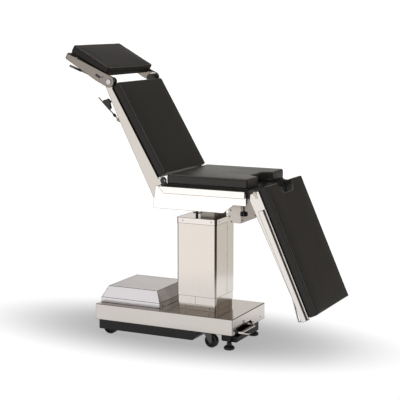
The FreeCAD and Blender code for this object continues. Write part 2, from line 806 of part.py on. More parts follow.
def power_box_cover():
    """Folded sheet cover of the power unit: a low upright band with sloping sides above it."""
    body = new_body("power_box_cover")
    sides = ("dim.power_head_end", "dim.power_foot_end", "-dim.power_half_width", "dim.power_half_width")
    band = sketch_on(body, "XY_Plane", "dim.cover_top")
    rectangle(band, *sides)
    pad(body, band, "dim.power_band")
    low = sketch_on(body, "XY_Plane", "dim.cover_top + dim.power_band")
    rectangle(low, *sides)
    high = sketch_on(body, "XY_Plane", "dim.cover_top + dim.power_height")
    rectangle(high, "dim.power_head_end + dim.power_slope_end", "dim.power_foot_end - dim.power_slope_foot",
              "-dim.power_half_width + dim.power_slope_side", "dim.power_half_width - dim.power_slope_side")
    hood = body.newObject("PartDesign::AdditiveLoft", "Hood")
    hood.Profile = low
    hood.Sections = [high]
    hood.Ruled = True
    room_sides = ("dim.power_head_end + dim.cover_wall", "dim.power_foot_end - dim.cover_wall",
                  "-dim.power_half_width + dim.cover_wall", "dim.power_half_width - dim.cover_wall")
    inner = sketch_on(body, "XY_Plane", "dim.cover_top")
    rectangle(inner, *room_sides)
    pocket(body, inner, "dim.power_band", flip=True)
    low = sketch_on(body, "XY_Plane", "dim.cover_top + dim.power_band")
    rectangle(low, *room_sides)
    high = sketch_on(body, "XY_Plane", "dim.cover_top + dim.power_height - dim.cover_wall")
    rectangle(high, "dim.power_head_end + dim.power_slope_end + dim.cover_wall",
              "dim.power_foot_end - dim.power_slope_foot - dim.cover_wall",
              "-dim.power_half_width + dim.power_slope_side + dim.cover_wall",
              "dim.power_half_width - dim.power_slope_side - dim.cover_wall")
    room = body.newObject("PartDesign::SubtractiveLoft", "Room")
    room.Profile = low
    room.Sections = [high]
    room.Ruled = True
    return body


def power_unit():
    """Oil tank with its pump motor lying on top of it."""
    body = new_body("power_unit")
    tank = sketch_on(body, "XY_Plane", "dim.cover_top")
    middle = "(dim.power_head_end + dim.power_foot_end) / 2"
    rectangle(tank, middle + " - dim.pump_length / 2", middle + " + dim.pump_length / 2",
              "-dim.pump_tank_width / 2", "dim.pump_tank_width / 2")
    pad(body, tank, "dim.pump_tank_height")
    motor = sketch_on(body, "YZ_Plane", middle)
    circle(motor, "0", "dim.cover_top + dim.pump_tank_height + dim.pump_motor_rise", "dim.pump_radius")
    pad(body, motor, "dim.pump_motor_length", symmetric=True)
    return body


def wheel(label, radius, width, bore):
    """A rubber-tyred wheel, turned about Y, with a dished web and a proud hub."""
    body = new_body(label)
    half = sketch_on(body, "XY_Plane", "0")
    face, web = "%s / 2" % width, "%s / 4" % width
    hub = bore + " + dim.wheel_hub_wall"
    near_side = [
        (bore, face),
        (hub, face),
        (hub + " + dim.wheel_dish", web),
        (radius + " - dim.wheel_rim - dim.wheel_dish", web),
        (radius + " - dim.wheel_rim", face),
        (radius + " - dim.wheel_shoulder", face),
        (radius, face + " - dim.wheel_shoulder_drop"),
    ]
    far_side = [(across, "-(%s)" % up) for across, up in reversed(near_side)]
    polygon(half, near_side + far_side)
    revolve(body, half)
    return body


def rear_wheels():
    """Fixed wheels in the plinth, on one through axle."""
    for side, hand in SIDES:
        piece = wheel("rear_wheel_" + hand, "dim.wheel_radius", "dim.wheel_width",
                      "(dim.axle_radius + dim.running_fit)")
        place(piece, size("wheel_x"), side * size("wheel_y"), size("wheel_radius"))
    axle = new_body("rear_axle")
    section = sketch_on(axle, "XZ_Plane", "0")
    circle(section, "0", "0", "dim.axle_radius")
    pad(axle, section, "dim.axle_length", symmetric=True)
    place(axle, size("wheel_x"), 0, size("wheel_radius"))


def castor(side, hand):
    """A swivel castor: pressed fork with its stem and axle, and the wheel between its cheeks."""
    trail = size("castor_trail")
    spot = (size("castor_x"), side * size("castor_y"))
    fork = new_body("castor_fork_" + hand)
    top = "(2 * dim.castor_radius + dim.castor_top_gap)"
    inner = "(dim.castor_width / 2 + dim.castor_side_gap)"
    crown = sketch_on(fork, "XY_Plane", top)
    rectangle(crown, "-dim.castor_crown", "dim.castor_crown",
              "-%s - dim.castor_cheek" % inner, inner + " + dim.castor_cheek")
    pad(fork, crown, "dim.castor_plate")
    fillet(fork, "dim.castor_crown_corner", UPRIGHT)
    for near in (-1, 1):
        cheek = sketch_on(fork, "XZ_Plane", side_offset(near, inner, "dim.castor_cheek"))
        polygon(cheek, [
            ("-dim.castor_crown", top),
            ("dim.castor_trail - dim.castor_eye", "dim.castor_radius - dim.castor_eye_flat"),
            ("dim.castor_trail - dim.castor_eye_flat", "dim.castor_radius - dim.castor_eye"),
            ("dim.castor_trail + dim.castor_eye_flat", "dim.castor_radius - dim.castor_eye"),
            ("dim.castor_trail + dim.castor_eye", "dim.castor_radius - dim.castor_eye_flat"),
            ("dim.castor_crown", top),
        ])
        pad(fork, cheek, "dim.castor_cheek")
    race = sketch_on(fork, "XY_Plane", top + " + dim.castor_plate")
    circle(race, "0", "0", "dim.castor_race_radius")
    pad(fork, race, "dim.chassis_bottom - dim.running_fit - %s - dim.castor_plate" % top)
    stem = sketch_on(fork, "XY_Plane", top + " + dim.castor_plate")
    circle(stem, "0", "0", "dim.castor_stem_radius")
    stem_end = "dim.chassis_bottom + dim.castor_stem_depth - dim.castor_stem_end_gap"
    pad(fork, stem, "%s - %s - dim.castor_plate" % (stem_end, top))
    axle = sketch_on(fork, "XZ_Plane", "0")
    circle(axle, "dim.castor_trail", "dim.castor_radius", "dim.axle_radius")
    pad(fork, axle, "2 * (%s + dim.castor_cheek + dim.castor_axle_overhang)" % inner, symmetric=True)
    place(fork, *spot)
    roller = wheel("castor_wheel_" + hand, "dim.castor_radius", "dim.castor_width",
                   "(dim.axle_radius + dim.running_fit)")
    place(roller, spot[0] + trail, spot[1], size("castor_radius"))


def brake_foot(side, hand):
    """A rubber-faced brake foot: broad pad, cone and the spindle that slides in the deck."""
    body = new_body("brake_foot_" + hand)
    half = sketch_on(body, "XZ_Plane", "0")
    polygon(half, [
        ("0", "0"),
        ("dim.brake_pad_radius - dim.brake_pad_edge", "0"),
        ("dim.brake_pad_radius", "dim.brake_pad_edge"),
        ("dim.brake_pad_radius", "dim.brake_pad_height - dim.brake_pad_slope"),
        ("dim.brake_pad_radius - dim.brake_pad_shoulder", "dim.brake_pad_height"),
        ("dim.brake_cone_radius + dim.brake_cone_flare", "dim.brake_pad_height + dim.brake_cone_flare"),
        ("dim.brake_cone_radius", "dim.brake_cone_top - dim.brake_pad_edge"),
        ("dim.brake_spindle_radius", "dim.brake_cone_top"),
        ("dim.brake_spindle_radius", "dim.chassis_top - dim.brake_spindle_short"),
        ("0", "dim.chassis_top - dim.brake_spindle_short"),
    ])
    revolve(body, half)
    place(body, size("brake_x"), side * size("brake_y"), 0)


def pedals():
    """Brake pedal and release pedal, both hinged on one shaft inside the pedal gate."""
    shaft = new_body("pedal_shaft")
    section = sketch_on(shaft, "XZ_Plane", "-dim.pedal_shaft_far - dim.pedal_bracket_width / 2")
    circle(section, "0", "0", "dim.pedal_shaft_radius")
    pad(shaft, section, "dim.pedal_shaft_far - dim.pedal_shaft_near + dim.pedal_bracket_width")
    place(shaft, size("pedal_shaft_x"), 0, size("pedal_shaft_z"))

    brake = new_body("brake_pedal")
    hub = sketch_on(brake, "XZ_Plane", "-dim.pedal_arm_y")
    circle(hub, "0", "0", "dim.pedal_hub_radius")
    pad(brake, hub, "dim.pedal_arm_width", symmetric=True)
    arm = sketch_on(brake, "XZ_Plane", "-dim.pedal_arm_y")
    polygon(arm, [
        ("0", "-dim.pedal_arm_height / 2"),
        ("dim.pedal_reach + dim.pedal_tread_width / 2", "-dim.pedal_arm_height / 2 - dim.pedal_drop"),
        ("dim.pedal_reach + dim.pedal_tread_width / 2", "-dim.pedal_drop"),
        ("dim.pedal_hub_radius * 2", "dim.pedal_arm_height / 2"),
        ("0", "dim.pedal_arm_height / 2"),
    ])
    pad(brake, arm, "dim.pedal_arm_width", symmetric=True)
    tread = sketch_on(brake, "XZ_Plane", "-dim.pedal_arm_y")
    rectangle(tread, "dim.pedal_reach - dim.pedal_tread_width / 2",
              "dim.pedal_reach + dim.pedal_tread_width / 2",
              "-dim.pedal_drop - dim.pedal_tread_thickness", "-dim.pedal_drop")
    pad(brake, tread, "dim.pedal_tread_length")
    post = sketch_on(brake, "XY_Plane", "-dim.pedal_drop - dim.overlap")
    circle(post, "dim.pedal_reach", "dim.pedal_arm_y", "dim.pedal_post_radius")
    pad(brake, post, "dim.pedal_post_height")
    bore = sketch_on(brake, "XZ_Plane", "-dim.pedal_arm_y")
    circle(bore, "0", "0", "dim.pedal_shaft_radius + dim.running_fit")
    pocket(brake, bore, "2 * dim.pedal_arm_width", symmetric=True)
    place(brake, size("pedal_shaft_x"), 0, size("pedal_shaft_z"))

    release = new_body("release_pedal")
    hub = sketch_on(release, "XZ_Plane", "-dim.release_y")
    circle(hub, "0", "0", "dim.pedal_hub_radius")
    pad(release, hub, "dim.release_width", symmetric=True)
    arm = sketch_on(release, "XZ_Plane", "-dim.release_y")
    polygon(arm, [
        ("-dim.release_thickness / 2", "0"),
        ("-dim.release_thickness / 2", "-dim.release_drop"),
        ("dim.release_reach", "-dim.release_drop"),
        ("dim.release_reach", "-dim.release_drop + dim.release_thickness"),
        ("dim.release_thickness / 2", "-dim.release_drop + dim.release_thickness"),
        ("dim.release_thickness / 2", "0"),
    ])
    pad(release, arm, "dim.release_width", symmetric=True)
    bore = sketch_on(release, "XZ_Plane", "-dim.release_y")
    circle(bore, "0", "0", "dim.pedal_shaft_radius + dim.running_fit")
    pocket(release, bore, "2 * dim.release_width", symmetric=True)
    place(release, size("pedal_shaft_x"), 0, size("pedal_shaft_z"))


def lift_drive():
    """Hydraulic cylinder in the base and the ram that carries the column head."""
    cylinder = new_body("lift_cylinder")
    tube = sketch_on(cylinder, "XY_Plane", "dim.chassis_top")
    circle(tube, COLUMN_MIDDLE, "0", "dim.cylinder_radius")
    pad(cylinder, tube, "dim.cylinder_top - dim.chassis_top")
    bore = sketch_on(cylinder, "XY_Plane", "dim.cylinder_top")
    circle(bore, COLUMN_MIDDLE, "0", "dim.ram_radius + dim.running_fit")
    pocket(cylinder, bore, "dim.cylinder_top - dim.chassis_top - dim.cylinder_floor")

    ram = new_body("lift_ram")
    bar = sketch_on(ram, "XY_Plane", "dim.ram_bottom")
    circle(bar, COLUMN_MIDDLE, "0", "dim.ram_radius")
    pad(ram, bar, "dim.casing_top - dim.ram_bottom")


def head_block():
    """Cast block on the column cap that holds the cross pin of the long tilt."""
    body = new_body("head_block")
    side = sketch_on(body, "XZ_Plane", "0")
    rectangle(side, "dim.head_block_start", "dim.head_block_end", "dim.cap_top",
              "dim.head_block_top")
    pad(body, side, "2 * dim.head_block_half_width", symmetric=True)
    top = at_level(size("head_block_top"))
    fillet(body, "dim.head_block_round", lambda edge: ACROSS(edge) and top(edge))
    bore = sketch_on(body, "XZ_Plane", "0")
    circle(bore, "dim.trend_x", "dim.trend_z", "dim.trend_pin_radius")
    pocket(body, bore, "2 * dim.head_block_half_width", symmetric=True)

    pin = new_body("trend_pin")
    bar = sketch_on(pin, "XZ_Plane", "0")
    circle(bar, "0", "0", "dim.trend_pin_radius")
    pad(pin, bar, "2 * (dim.head_block_half_width + dim.cradle_gap + dim.cradle_cheek)", symmetric=True)
    place(pin, size("trend_x"), 0, size("trend_z"))


def tilt_cradle():
    """Fork over the head block, with the lengthwise pin of the side tilt above it."""
    body = new_body("tilt_cradle")
    plate = sketch_on(body, "XY_Plane", "dim.cradle_plate_bottom")
    half = "(dim.head_block_half_width + dim.cradle_gap + dim.cradle_cheek)"
    rectangle(plate, "dim.cradle_head_end", "dim.cradle_foot_end", "-" + half, half)
    pad(body, plate, "dim.cradle_plate")
    for side, _ in SIDES:
        offset = side_offset(side, "(dim.head_block_half_width + dim.cradle_gap)", "dim.cradle_cheek")
        cheek = sketch_on(body, "XZ_Plane", offset)
        polygon(cheek, [
            ("dim.tilt_ram_x + 2 * dim.tilt_ram_radius", "dim.cradle_plate_bottom + dim.overlap"),
            ("dim.trend_x - dim.cradle_ear_radius", "dim.trend_z"),
            ("dim.trend_x + dim.cradle_ear_radius", "dim.trend_z"),
            ("dim.cradle_foot_end", "dim.cradle_plate_bottom + dim.overlap"),
        ])
        pad(body, cheek, "dim.cradle_cheek")
        ear = sketch_on(body, "XZ_Plane", offset)
        circle(ear, "dim.trend_x", "dim.trend_z", "dim.cradle_ear_radius")
        pad(body, ear, "dim.cradle_cheek")
    bore = sketch_on(body, "XZ_Plane", "0")
    circle(bore, "dim.trend_x", "dim.trend_z", "dim.trend_pin_radius + dim.running_fit")
    pocket(body, bore, "3 * dim.head_block_half_width", symmetric=True)
    lug = sketch_on(body, "YZ_Plane", "dim.cradle_head_end")
    polygon(lug, [
        ("-dim.roll_lug_radius", "dim.cradle_plate_bottom + dim.cradle_plate - dim.overlap"),
        ("dim.roll_lug_radius", "dim.cradle_plate_bottom + dim.cradle_plate - dim.overlap"),
        ("dim.roll_lug_radius", "dim.roll_z"),
        ("dim.roll_lug_crown", "dim.roll_z + dim.roll_lug_crown_rise"),
        ("-dim.roll_lug_crown", "dim.roll_z + dim.roll_lug_crown_rise"),
        ("-dim.roll_lug_radius", "dim.roll_z"),
    ])
    pad(body, lug, CRADLE_LENGTH)
    long_bore = sketch_on(body, "YZ_Plane", "dim.cradle_foot_end")
    circle(long_bore, "0", "dim.roll_z", "dim.roll_pin_radius + dim.running_fit")
    pocket(body, long_bore, CRADLE_LENGTH)

    pin = new_body("roll_pin")
    bar = sketch_on(pin, "YZ_Plane", "dim.cradle_head_end - " + HANGER)
    circle(bar, "0", "dim.roll_z", "dim.roll_pin_radius")
    pad(pin, bar, "%s + 2 * %s" % (CRADLE_LENGTH, HANGER))


def tilt_ram():
    """Piston rod of the long-tilt cylinder, with the cross pin of its clevis."""
    body = new_body("tilt_ram")
    bar = sketch_on(body, "XY_Plane", "dim.tilt_ram_bottom")
    circle(bar, "dim.tilt_ram_x", "dim.tilt_ram_y", "dim.tilt_ram_radius")
    pad(body, bar, "dim.tilt_ram_top - dim.tilt_ram_bottom")
    fillet(body, "dim.tilt_ram_tip", at_level(size("tilt_ram_top")))
    cross = sketch_on(body, "YZ_Plane", "dim.tilt_ram_x")
    circle(cross, "dim.tilt_ram_y", "dim.tilt_ram_cross_z", "dim.tilt_ram_cross_radius")
    pad(body, cross, "dim.tilt_ram_cross_length", symmetric=True)


def notched(sketch, head, foot, half, near, far, depth, corner):
    """A mattress outline with the perineal notch in its foot end."""
    polygon(sketch, [
        (head, "-" + half),
        (foot, "-" + half),
        (foot, near),
        ("%s - %s + %s" % (foot, depth, corner), near),
        ("%s - %s" % (foot, depth), "%s + %s" % (near, corner)),
        ("%s - %s" % (foot, depth), "%s - %s" % (far, corner)),
        ("%s - %s + %s" % (foot, depth, corner), far),
        (foot, far),
        (foot, half),
        (head, half),
    ])


def seat_mattress():
    """Seat cushion and the board under it, both notched at the leg end."""
    half = "dim.mattress_width / 2"
    cushion = new_body("seat_cushion")
    outline = sketch_on(cushion, "XY_Plane", "dim.seat_under")
    notched(outline, "dim.seat_head_end", "dim.seat_foot_end", half, "dim.seat_notch_near",
            "dim.seat_notch_far", "dim.seat_notch_depth", "dim.seat_notch_corner")
    pad(cushion, outline, "dim.mattress_thickness")
    fillet(cushion, "dim.mattress_radius", at_level(size("mattress_top")))
    board = new_body("seat_board")
    outline = sketch_on(board, "XY_Plane", "dim.frame_top")
    notched(outline, "dim.seat_head_end", "dim.seat_foot_end", half, "dim.seat_notch_near",
            "dim.seat_notch_far", "dim.seat_notch_depth", "dim.seat_notch_corner")
    pad(board, outline, "dim.board_thickness")


def seat_frame():
    """Welded ring of box section with hangers for the side-tilt pin and lugs for both hinges."""
    body = new_body("seat_frame")
    half = "dim.seat_frame_half_width"
    ring = sketch_on(body, "XY_Plane", "dim.frame_bottom")
    rectangle(ring, "dim.seat_frame_head_end", "dim.seat_foot_end", "-" + half, half)
    pad(body, ring, "dim.seat_frame_height")
    window = sketch_on(body, "XY_Plane", "dim.frame_bottom")
    rectangle(window, "dim.seat_frame_head_end + dim.seat_frame_tube", "dim.foot_bar",
              "-%s + dim.seat_frame_tube" % half, half + " - dim.seat_frame_tube")
    pocket(body, window, "dim.seat_frame_height", flip=True)
    mouth = sketch_on(body, "XY_Plane", "dim.frame_bottom")
    rectangle(mouth, "dim.seat_foot_end - dim.seat_notch_depth", "dim.seat_foot_end + dim.overlap",
              "dim.seat_notch_near", "dim.seat_notch_far")
    pocket(body, mouth, "dim.seat_frame_height", flip=True)
    for start in ("dim.cradle_head_end - " + HANGER, "dim.cradle_foot_end + dim.seat_hanger_gap"):
        hanger = sketch_on(body, "YZ_Plane", start)
        polygon(hanger, [
            ("-dim.seat_frame_half_width + dim.overlap", "dim.frame_top"),
            ("-dim.seat_frame_half_width + dim.overlap", "dim.frame_top - dim.seat_frame_height / 2"),
            ("-dim.seat_hanger_width / 2", "dim.roll_z - dim.roll_lug_radius"),
            ("dim.seat_hanger_width / 2", "dim.roll_z - dim.roll_lug_radius"),
            ("dim.seat_frame_half_width - dim.overlap", "dim.frame_top - dim.seat_frame_height / 2"),
            ("dim.seat_frame_half_width - dim.overlap", "dim.frame_top"),
        ])
        pad(body, hanger, "dim.seat_hanger_thickness")
    bore = sketch_on(body, "YZ_Plane", "dim.cradle_foot_end + " + HANGER)
    circle(bore, "0", "dim.roll_z", "dim.roll_pin_radius")
    pocket(body, bore, "%s + 2 * %s" % (CRADLE_LENGTH, HANGER))
    for side, _ in SIDES:
        offset = side_offset(side, LUG_INNER, "dim.lug_thickness")
        lugs = sketch_on(body, "XZ_Plane", offset)
        polygon(lugs, [
            ("dim.seat_frame_head_end + dim.seat_frame_tube", "dim.frame_bottom"),
            ("dim.seat_frame_head_end + dim.seat_frame_tube", "dim.frame_top"),
            ("dim.seat_head_end - dim.running_fit", "dim.frame_top"),
            ("dim.back_pivot_x + dim.back_lug_neck", "dim.back_pivot_z"),
            ("dim.back_pivot_x - dim.back_lug_neck", "dim.back_pivot_z"),
            ("dim.back_pivot_x - dim.back_lug_heel", "dim.back_pivot_z - dim.back_lug_drop"),
        ])
        pad(body, lugs, "dim.lug_thickness")
        eye = sketch_on(body, "XZ_Plane", offset)
        circle(eye, "dim.back_pivot_x", "dim.back_pivot_z", "dim.back_lug_radius")
        pad(body, eye, "dim.lug_thickness")
        lugs = sketch_on(body, "XZ_Plane", offset)
        polygon(lugs, [
            ("dim.seat_foot_end - dim.seat_frame_tube", "dim.frame_bottom"),
            ("dim.seat_foot_end", "dim.frame_bottom"),
            ("dim.leg_pivot_x", "dim.leg_pivot_z - dim.leg_lug_radius"),
            ("dim.leg_pivot_x", "dim.leg_pivot_z + dim.leg_lug_radius"),
            ("dim.seat_foot_end", "dim.frame_top"),
            ("dim.seat_foot_end - dim.seat_frame_tube", "dim.frame_top"),
        ])
        pad(body, lugs, "dim.lug_thickness")
        eye = sketch_on(body, "XZ_Plane", offset)
        circle(eye, "dim.leg_pivot_x", "dim.leg_pivot_z", "dim.leg_lug_radius")
        pad(body, eye, "dim.lug_thickness")
        spacers = sketch_on(body, "XZ_Plane", side_offset(side, "dim.seat_frame_half_width",
                                                          "dim.seat_spacer_length"))
        for x in ("dim.trend_x", "dim.seat_foot_end - 2 * dim.seat_frame_tube"):
            circle(spacers, x, "dim.frame_top - dim.seat_frame_height / 2", "dim.seat_spacer_radius")
        pad(body, spacers, "dim.seat_spacer_length")
        block = sketch_on(body, "XY_Plane", "dim.knob_block_bottom")
        low, high = across_side(side, "dim.seat_frame_half_width - dim.knob_block_depth",
                                "dim.seat_plate_inner")
        rectangle(block, "dim.knob_x - dim.knob_block_length / 2", "dim.knob_x + dim.knob_block_length / 2",
                  low, high)
        pad(body, block, "dim.frame_bottom + dim.knob_block_depth - dim.knob_block_bottom")
    pins = sketch_on(body, "XZ_Plane", "0")
    circle(pins, "dim.back_pivot_x", "dim.back_pivot_z", "dim.hinge_pin_radius")
    circle(pins, "dim.leg_pivot_x", "dim.leg_pivot_z", "dim.hinge_pin_radius")
    pocket(body, pins, "3 * dim.seat_frame_half_width", symmetric=True)
    screws = sketch_on(body, "XY_Plane", "dim.knob_block_bottom")
    for side, _ in SIDES:
        circle(screws, "dim.knob_x", "%d * dim.knob_y" % side, "dim.knob_rod_radius + dim.running_fit")
    pocket(body, screws, "dim.knob_rod_top - dim.knob_block_bottom + dim.knob_bore_end_gap", flip=True)


def seat_side_plate(side, hand):
    """Cut plate down each side of the seat, with its stepped lower edge."""
    body = new_body("seat_side_plate_" + hand)
    face = sketch_on(body, "XZ_Plane", side_offset(side, "dim.seat_plate_inner", "dim.seat_plate_thickness"))
    step_end = "dim.seat_plate_step + dim.seat_plate_step_run"
    polygon(face, [
        ("dim.seat_plate_head_end + dim.seat_plate_top_inset", "dim.seat_plate_top - dim.seat_plate_corner"),
        ("dim.seat_plate_head_end", "dim.seat_plate_bottom + dim.seat_plate_corner"),
        ("dim.seat_plate_head_end + dim.seat_plate_edge", "dim.seat_plate_bottom"),
        ("dim.seat_plate_step", "dim.seat_plate_bottom"),
        (step_end, "dim.seat_plate_bottom + dim.seat_plate_step_rise"),
        ("dim.seat_plate_foot_end", "dim.seat_plate_bottom + dim.seat_plate_step_rise"),
        ("dim.seat_plate_foot_end", "dim.seat_plate_top"),
        ("dim.seat_plate_head_end + dim.seat_plate_top_inset + dim.seat_plate_edge", "dim.seat_plate_top"),
    ])
    pad(body, face, "dim.seat_plate_thickness")
    lip = sketch_on(body, "XY_Plane", "dim.seat_plate_bottom")
    low, high = across_side(side, "dim.seat_plate_inner - dim.seat_lip_depth",
                            "dim.seat_plate_inner + dim.overlap")
    rectangle(lip, "dim.trend_x", "dim.seat_plate_step", low, high)
    pad(body, lip, "dim.seat_plate_thickness")


def seat_rail(side, hand):
    """Accessory rail on three stand-off posts, with a mitred head end."""
    body = new_body("seat_rail_" + hand)
    inner = "(%s + dim.rail_gap)" % PLATE_OUTER
    bar = sketch_on(body, "XZ_Plane", side_offset(side, inner, "dim.rail_thickness"))
    low = "dim.rail_top - dim.rail_height"
    polygon(bar, [
        ("dim.rail_head_end", "dim.rail_top"),
        ("dim.rail_head_end + dim.rail_mitre", low),
        ("dim.seat_plate_foot_end", low),
        ("dim.seat_plate_foot_end", "dim.rail_top"),
    ])
    pad(body, bar, "dim.rail_thickness")
    posts = sketch_on(body, "XZ_Plane", side_offset(side, PLATE_OUTER, "dim.rail_gap"))
    for share in SEAT_RAIL_POSTS:
        circle(posts, "dim.rail_head_end + %g * (dim.seat_plate_foot_end - dim.rail_head_end)" % share,
               low + " + dim.rail_height / 2", "dim.rail_post_radius")
    pad(body, posts, "dim.rail_gap")


def seat_housing():
    """Sheet housing hung under the leg end of the seat frame."""
    body = new_body("seat_housing")
    outer = sketch_on(body, "XY_Plane", "dim.housing_bottom")
    rectangle(outer, "dim.housing_head_end", "dim.housing_foot_end",
              "-dim.housing_half_width", "dim.housing_half_width")
    pad(body, outer, "dim.frame_bottom - dim.housing_bottom")
    room = ("dim.housing_head_end + dim.housing_wall", "dim.housing_foot_end - dim.housing_wall",
            "-dim.housing_half_width + dim.housing_wall", "dim.housing_half_width - dim.housing_wall")
    inner = sketch_on(body, "XY_Plane", "dim.frame_bottom")
    rectangle(inner, *room)
    pocket(body, inner, "dim.frame_bottom - dim.housing_bottom - dim.housing_wall")
    flange = sketch_on(body, "XY_Plane", "dim.frame_bottom - dim.housing_flange")
    rectangle(flange, "dim.housing_head_end", "dim.housing_foot_end",
              "-dim.seat_frame_half_width + dim.housing_flange_inset",
              "dim.seat_frame_half_width - dim.housing_flange_inset")
    rectangle(flange, *room)
    pad(body, flange, "dim.housing_flange")


def clamp_knob(side, hand):
    """Star knob on its threaded rod, under the leg end of the side plate."""
    body = new_body("clamp_knob_" + hand)
    core = sketch_on(body, "XY_Plane", "0")
    circle(core, "0", "0", "dim.knob_radius - dim.knob_lobe_radius")
    pad(body, core, "dim.knob_height")
    lobe = sketch_on(body, "XY_Plane", "0")
    circle(lobe, "dim.knob_radius - dim.knob_lobe_radius", "0", "dim.knob_lobe_radius")
    one = pad(body, lobe, "dim.knob_height - dim.knob_lobe_drop")
    doc.recompute()
    ring = body.newObject("PartDesign::PolarPattern", "Lobes")
    ring.Originals = [one]
    ring.Axis = ([f for f in body.Origin.OriginFeatures if f.Role == "Z_Axis"][0], [""])
    ring.Angle = 360
    ring.Occurrences = int(size("knob_lobes"))
    body.Tip = ring
    stem = sketch_on(body, "XY_Plane", "dim.knob_height")
    circle(stem, "0", "0", "dim.knob_rod_radius")
    pad(body, stem, "dim.knob_rod_top - dim.knob_bottom - dim.knob_height")
    place(body, size("knob_x"), side * size("knob_y"), size("knob_bottom"))


def pins(label, x, z, inner, outer):
    """A matched pair of headed hinge pins, one on each side."""
    body = new_body(label)
    for side, _ in SIDES:
        length = "(%s - %s)" % (outer, inner)
        shank = sketch_on(body, "XZ_Plane", side_offset(side, inner, length))
        circle(shank, "0", "0", "dim.hinge_pin_radius")
        pad(body, shank, length)
        head = sketch_on(body, "XZ_Plane", side_offset(side, outer, "dim.hinge_head_height"))
        circle(head, "0", "0", "dim.hinge_head_radius")
        pad(body, head, "dim.hinge_head_height")
    place(body, x, 0, z)


def place_back(piece):
    return place(piece, size("back_pivot_x"), 0, size("back_pivot_z"), size("back_angle"))


def head_point():
    """The head hinge in the table's frame."""
    turn = math.radians(size("back_angle"))
    along, down = -size("head_hinge_x"), -size("head_hinge_drop")
    return (size("back_pivot_x") + along * math.cos(turn) + down * math.sin(turn),
            size("back_pivot_z") - along * math.sin(turn) + down * math.cos(turn))


def place_head(piece):
    x, z = head_point()
    return place(piece, x, 0, z, size("head_angle"))


def place_leg(piece):
    return place(piece, size("leg_pivot_x"), 0, size("leg_pivot_z"), size("leg_angle"))


def lever_bracket(board, x, y, drop, root, level):
    """A bracket under a board and the pin that sticks out of it for a lever."""
    inner = "(%s - dim.lever_hub_length / 2 - dim.running_fit)" % y
    plate = sketch_on(board, "XZ_Plane", inner + " - dim.lever_bracket")
    polygon(plate, [
        ("-%s + %s" % (x, root), level),
        ("-%s + dim.bracket_eye" % x, "-%s - dim.bracket_eye_drop" % drop),
        ("-%s - dim.bracket_eye" % x, "-%s - dim.bracket_eye_drop" % drop),
        ("-%s - dim.bracket_eye" % x, level),
    ])
    pad(board, plate, "dim.lever_bracket")
    pin = sketch_on(board, "XZ_Plane", inner + " - dim.lever_bracket / 2")
    circle(pin, "-" + x, "-" + drop, "dim.lever_pin_radius")
    pad(board, pin, "dim.lever_hub_length + dim.lever_bracket / 2 + dim.running_fit")


def back_section():
    """Back cushion, board and cross tube."""
    cushion = new_body("back_cushion")
    outline = sketch_on(cushion, "XY_Plane", BACK_UNDER)
    rectangle(outline, BACK_END, "-dim.seat_setback", "-dim.mattress_width / 2", "dim.mattress_width / 2")
    pad(cushion, outline, "dim.mattress_thickness")
    fillet(cushion, "dim.mattress_radius", at_level(size("mattress_top") - size("back_pivot_z")))
    place_back(cushion)

    board = new_body("back_board")
    outline = sketch_on(board, "XY_Plane", BACK_BOARD + " - dim.board_thickness")
    rectangle(outline, BACK_END + " + dim.board_setback", "-dim.seat_setback - dim.board_setback / 2",
              "-dim.back_plate_inner", "dim.back_plate_inner")
    pad(board, outline, "dim.board_thickness")
    lever_bracket(board, "dim.back_lever_x", "dim.back_lever_y", "dim.back_lever_drop", "dim.back_bracket_root",
                  BACK_BOARD + " - dim.board_thickness + dim.overlap")
    place_back(board)

    tube = new_body("back_cross_tube")
    section = sketch_on(tube, "XZ_Plane", "0")
    circle(section, "-dim.back_tube_x", "-dim.back_tube_drop", "dim.back_tube_radius")
    circle(section, "-dim.back_tube_x", "-dim.back_tube_drop", "dim.back_tube_radius - dim.back_tube_wall")
    pad(tube, section, "2 * dim.back_plate_inner", symmetric=True)
    place_back(tube)


def back_side_plate(side, hand):
    """Tapered side plate of the back, from its heel at the seat to the head hinge disc."""
    body = new_body("back_side_plate_" + hand)
    offset = side_offset(side, "dim.back_plate_inner", "dim.back_plate_thickness")
    top = BACK_UNDER + " - dim.back_plate_gap"
    face = sketch_on(body, "XZ_Plane", offset)
    polygon(face, [
        ("dim.back_toe_reach", top + " - dim.back_toe_drop"),
        ("dim.back_heel_reach", "-dim.back_heel_drop"),
        ("-dim.back_waist_x", "-dim.back_waist_drop"),
        ("-dim.head_hinge_x", "-dim.head_hinge_drop - dim.head_disc_radius"),
        ("-dim.head_hinge_x", "-dim.head_hinge_drop + dim.head_disc_radius"),
        ("-dim.head_hinge_x + dim.head_disc_radius + dim.back_disc_blend", top),
        ("0", top),
    ])
    pad(body, face, "dim.back_plate_thickness")
    discs = sketch_on(body, "XZ_Plane", offset)
    circle(discs, "-dim.head_hinge_x", "-dim.head_hinge_drop", "dim.head_disc_radius")
    pad(body, discs, "dim.back_plate_thickness")
    ear = sketch_on(body, "XZ_Plane", offset)
    polygon(ear, [
        ("-dim.back_lug_radius", top),
        ("dim.back_toe_reach", top + " - dim.back_toe_drop"),
        ("dim.back_toe_reach", "0"),
        ("-dim.back_lug_radius", "0"),
    ])
    pad(body, ear, "dim.back_plate_thickness")
    eye = sketch_on(body, "XZ_Plane", offset)
    circle(eye, "0", "0", "dim.back_lug_radius")
    pad(body, eye, "dim.back_plate_thickness")
    bores = sketch_on(body, "XZ_Plane", "0")
    circle(bores, "0", "0", "dim.hinge_pin_radius + dim.running_fit")
    circle(bores, "-dim.head_hinge_x", "-dim.head_hinge_drop", "dim.hinge_pin_radius")
    pocket(body, bores, "4 * dim.back_plate_inner", symmetric=True)
    place_back(body)


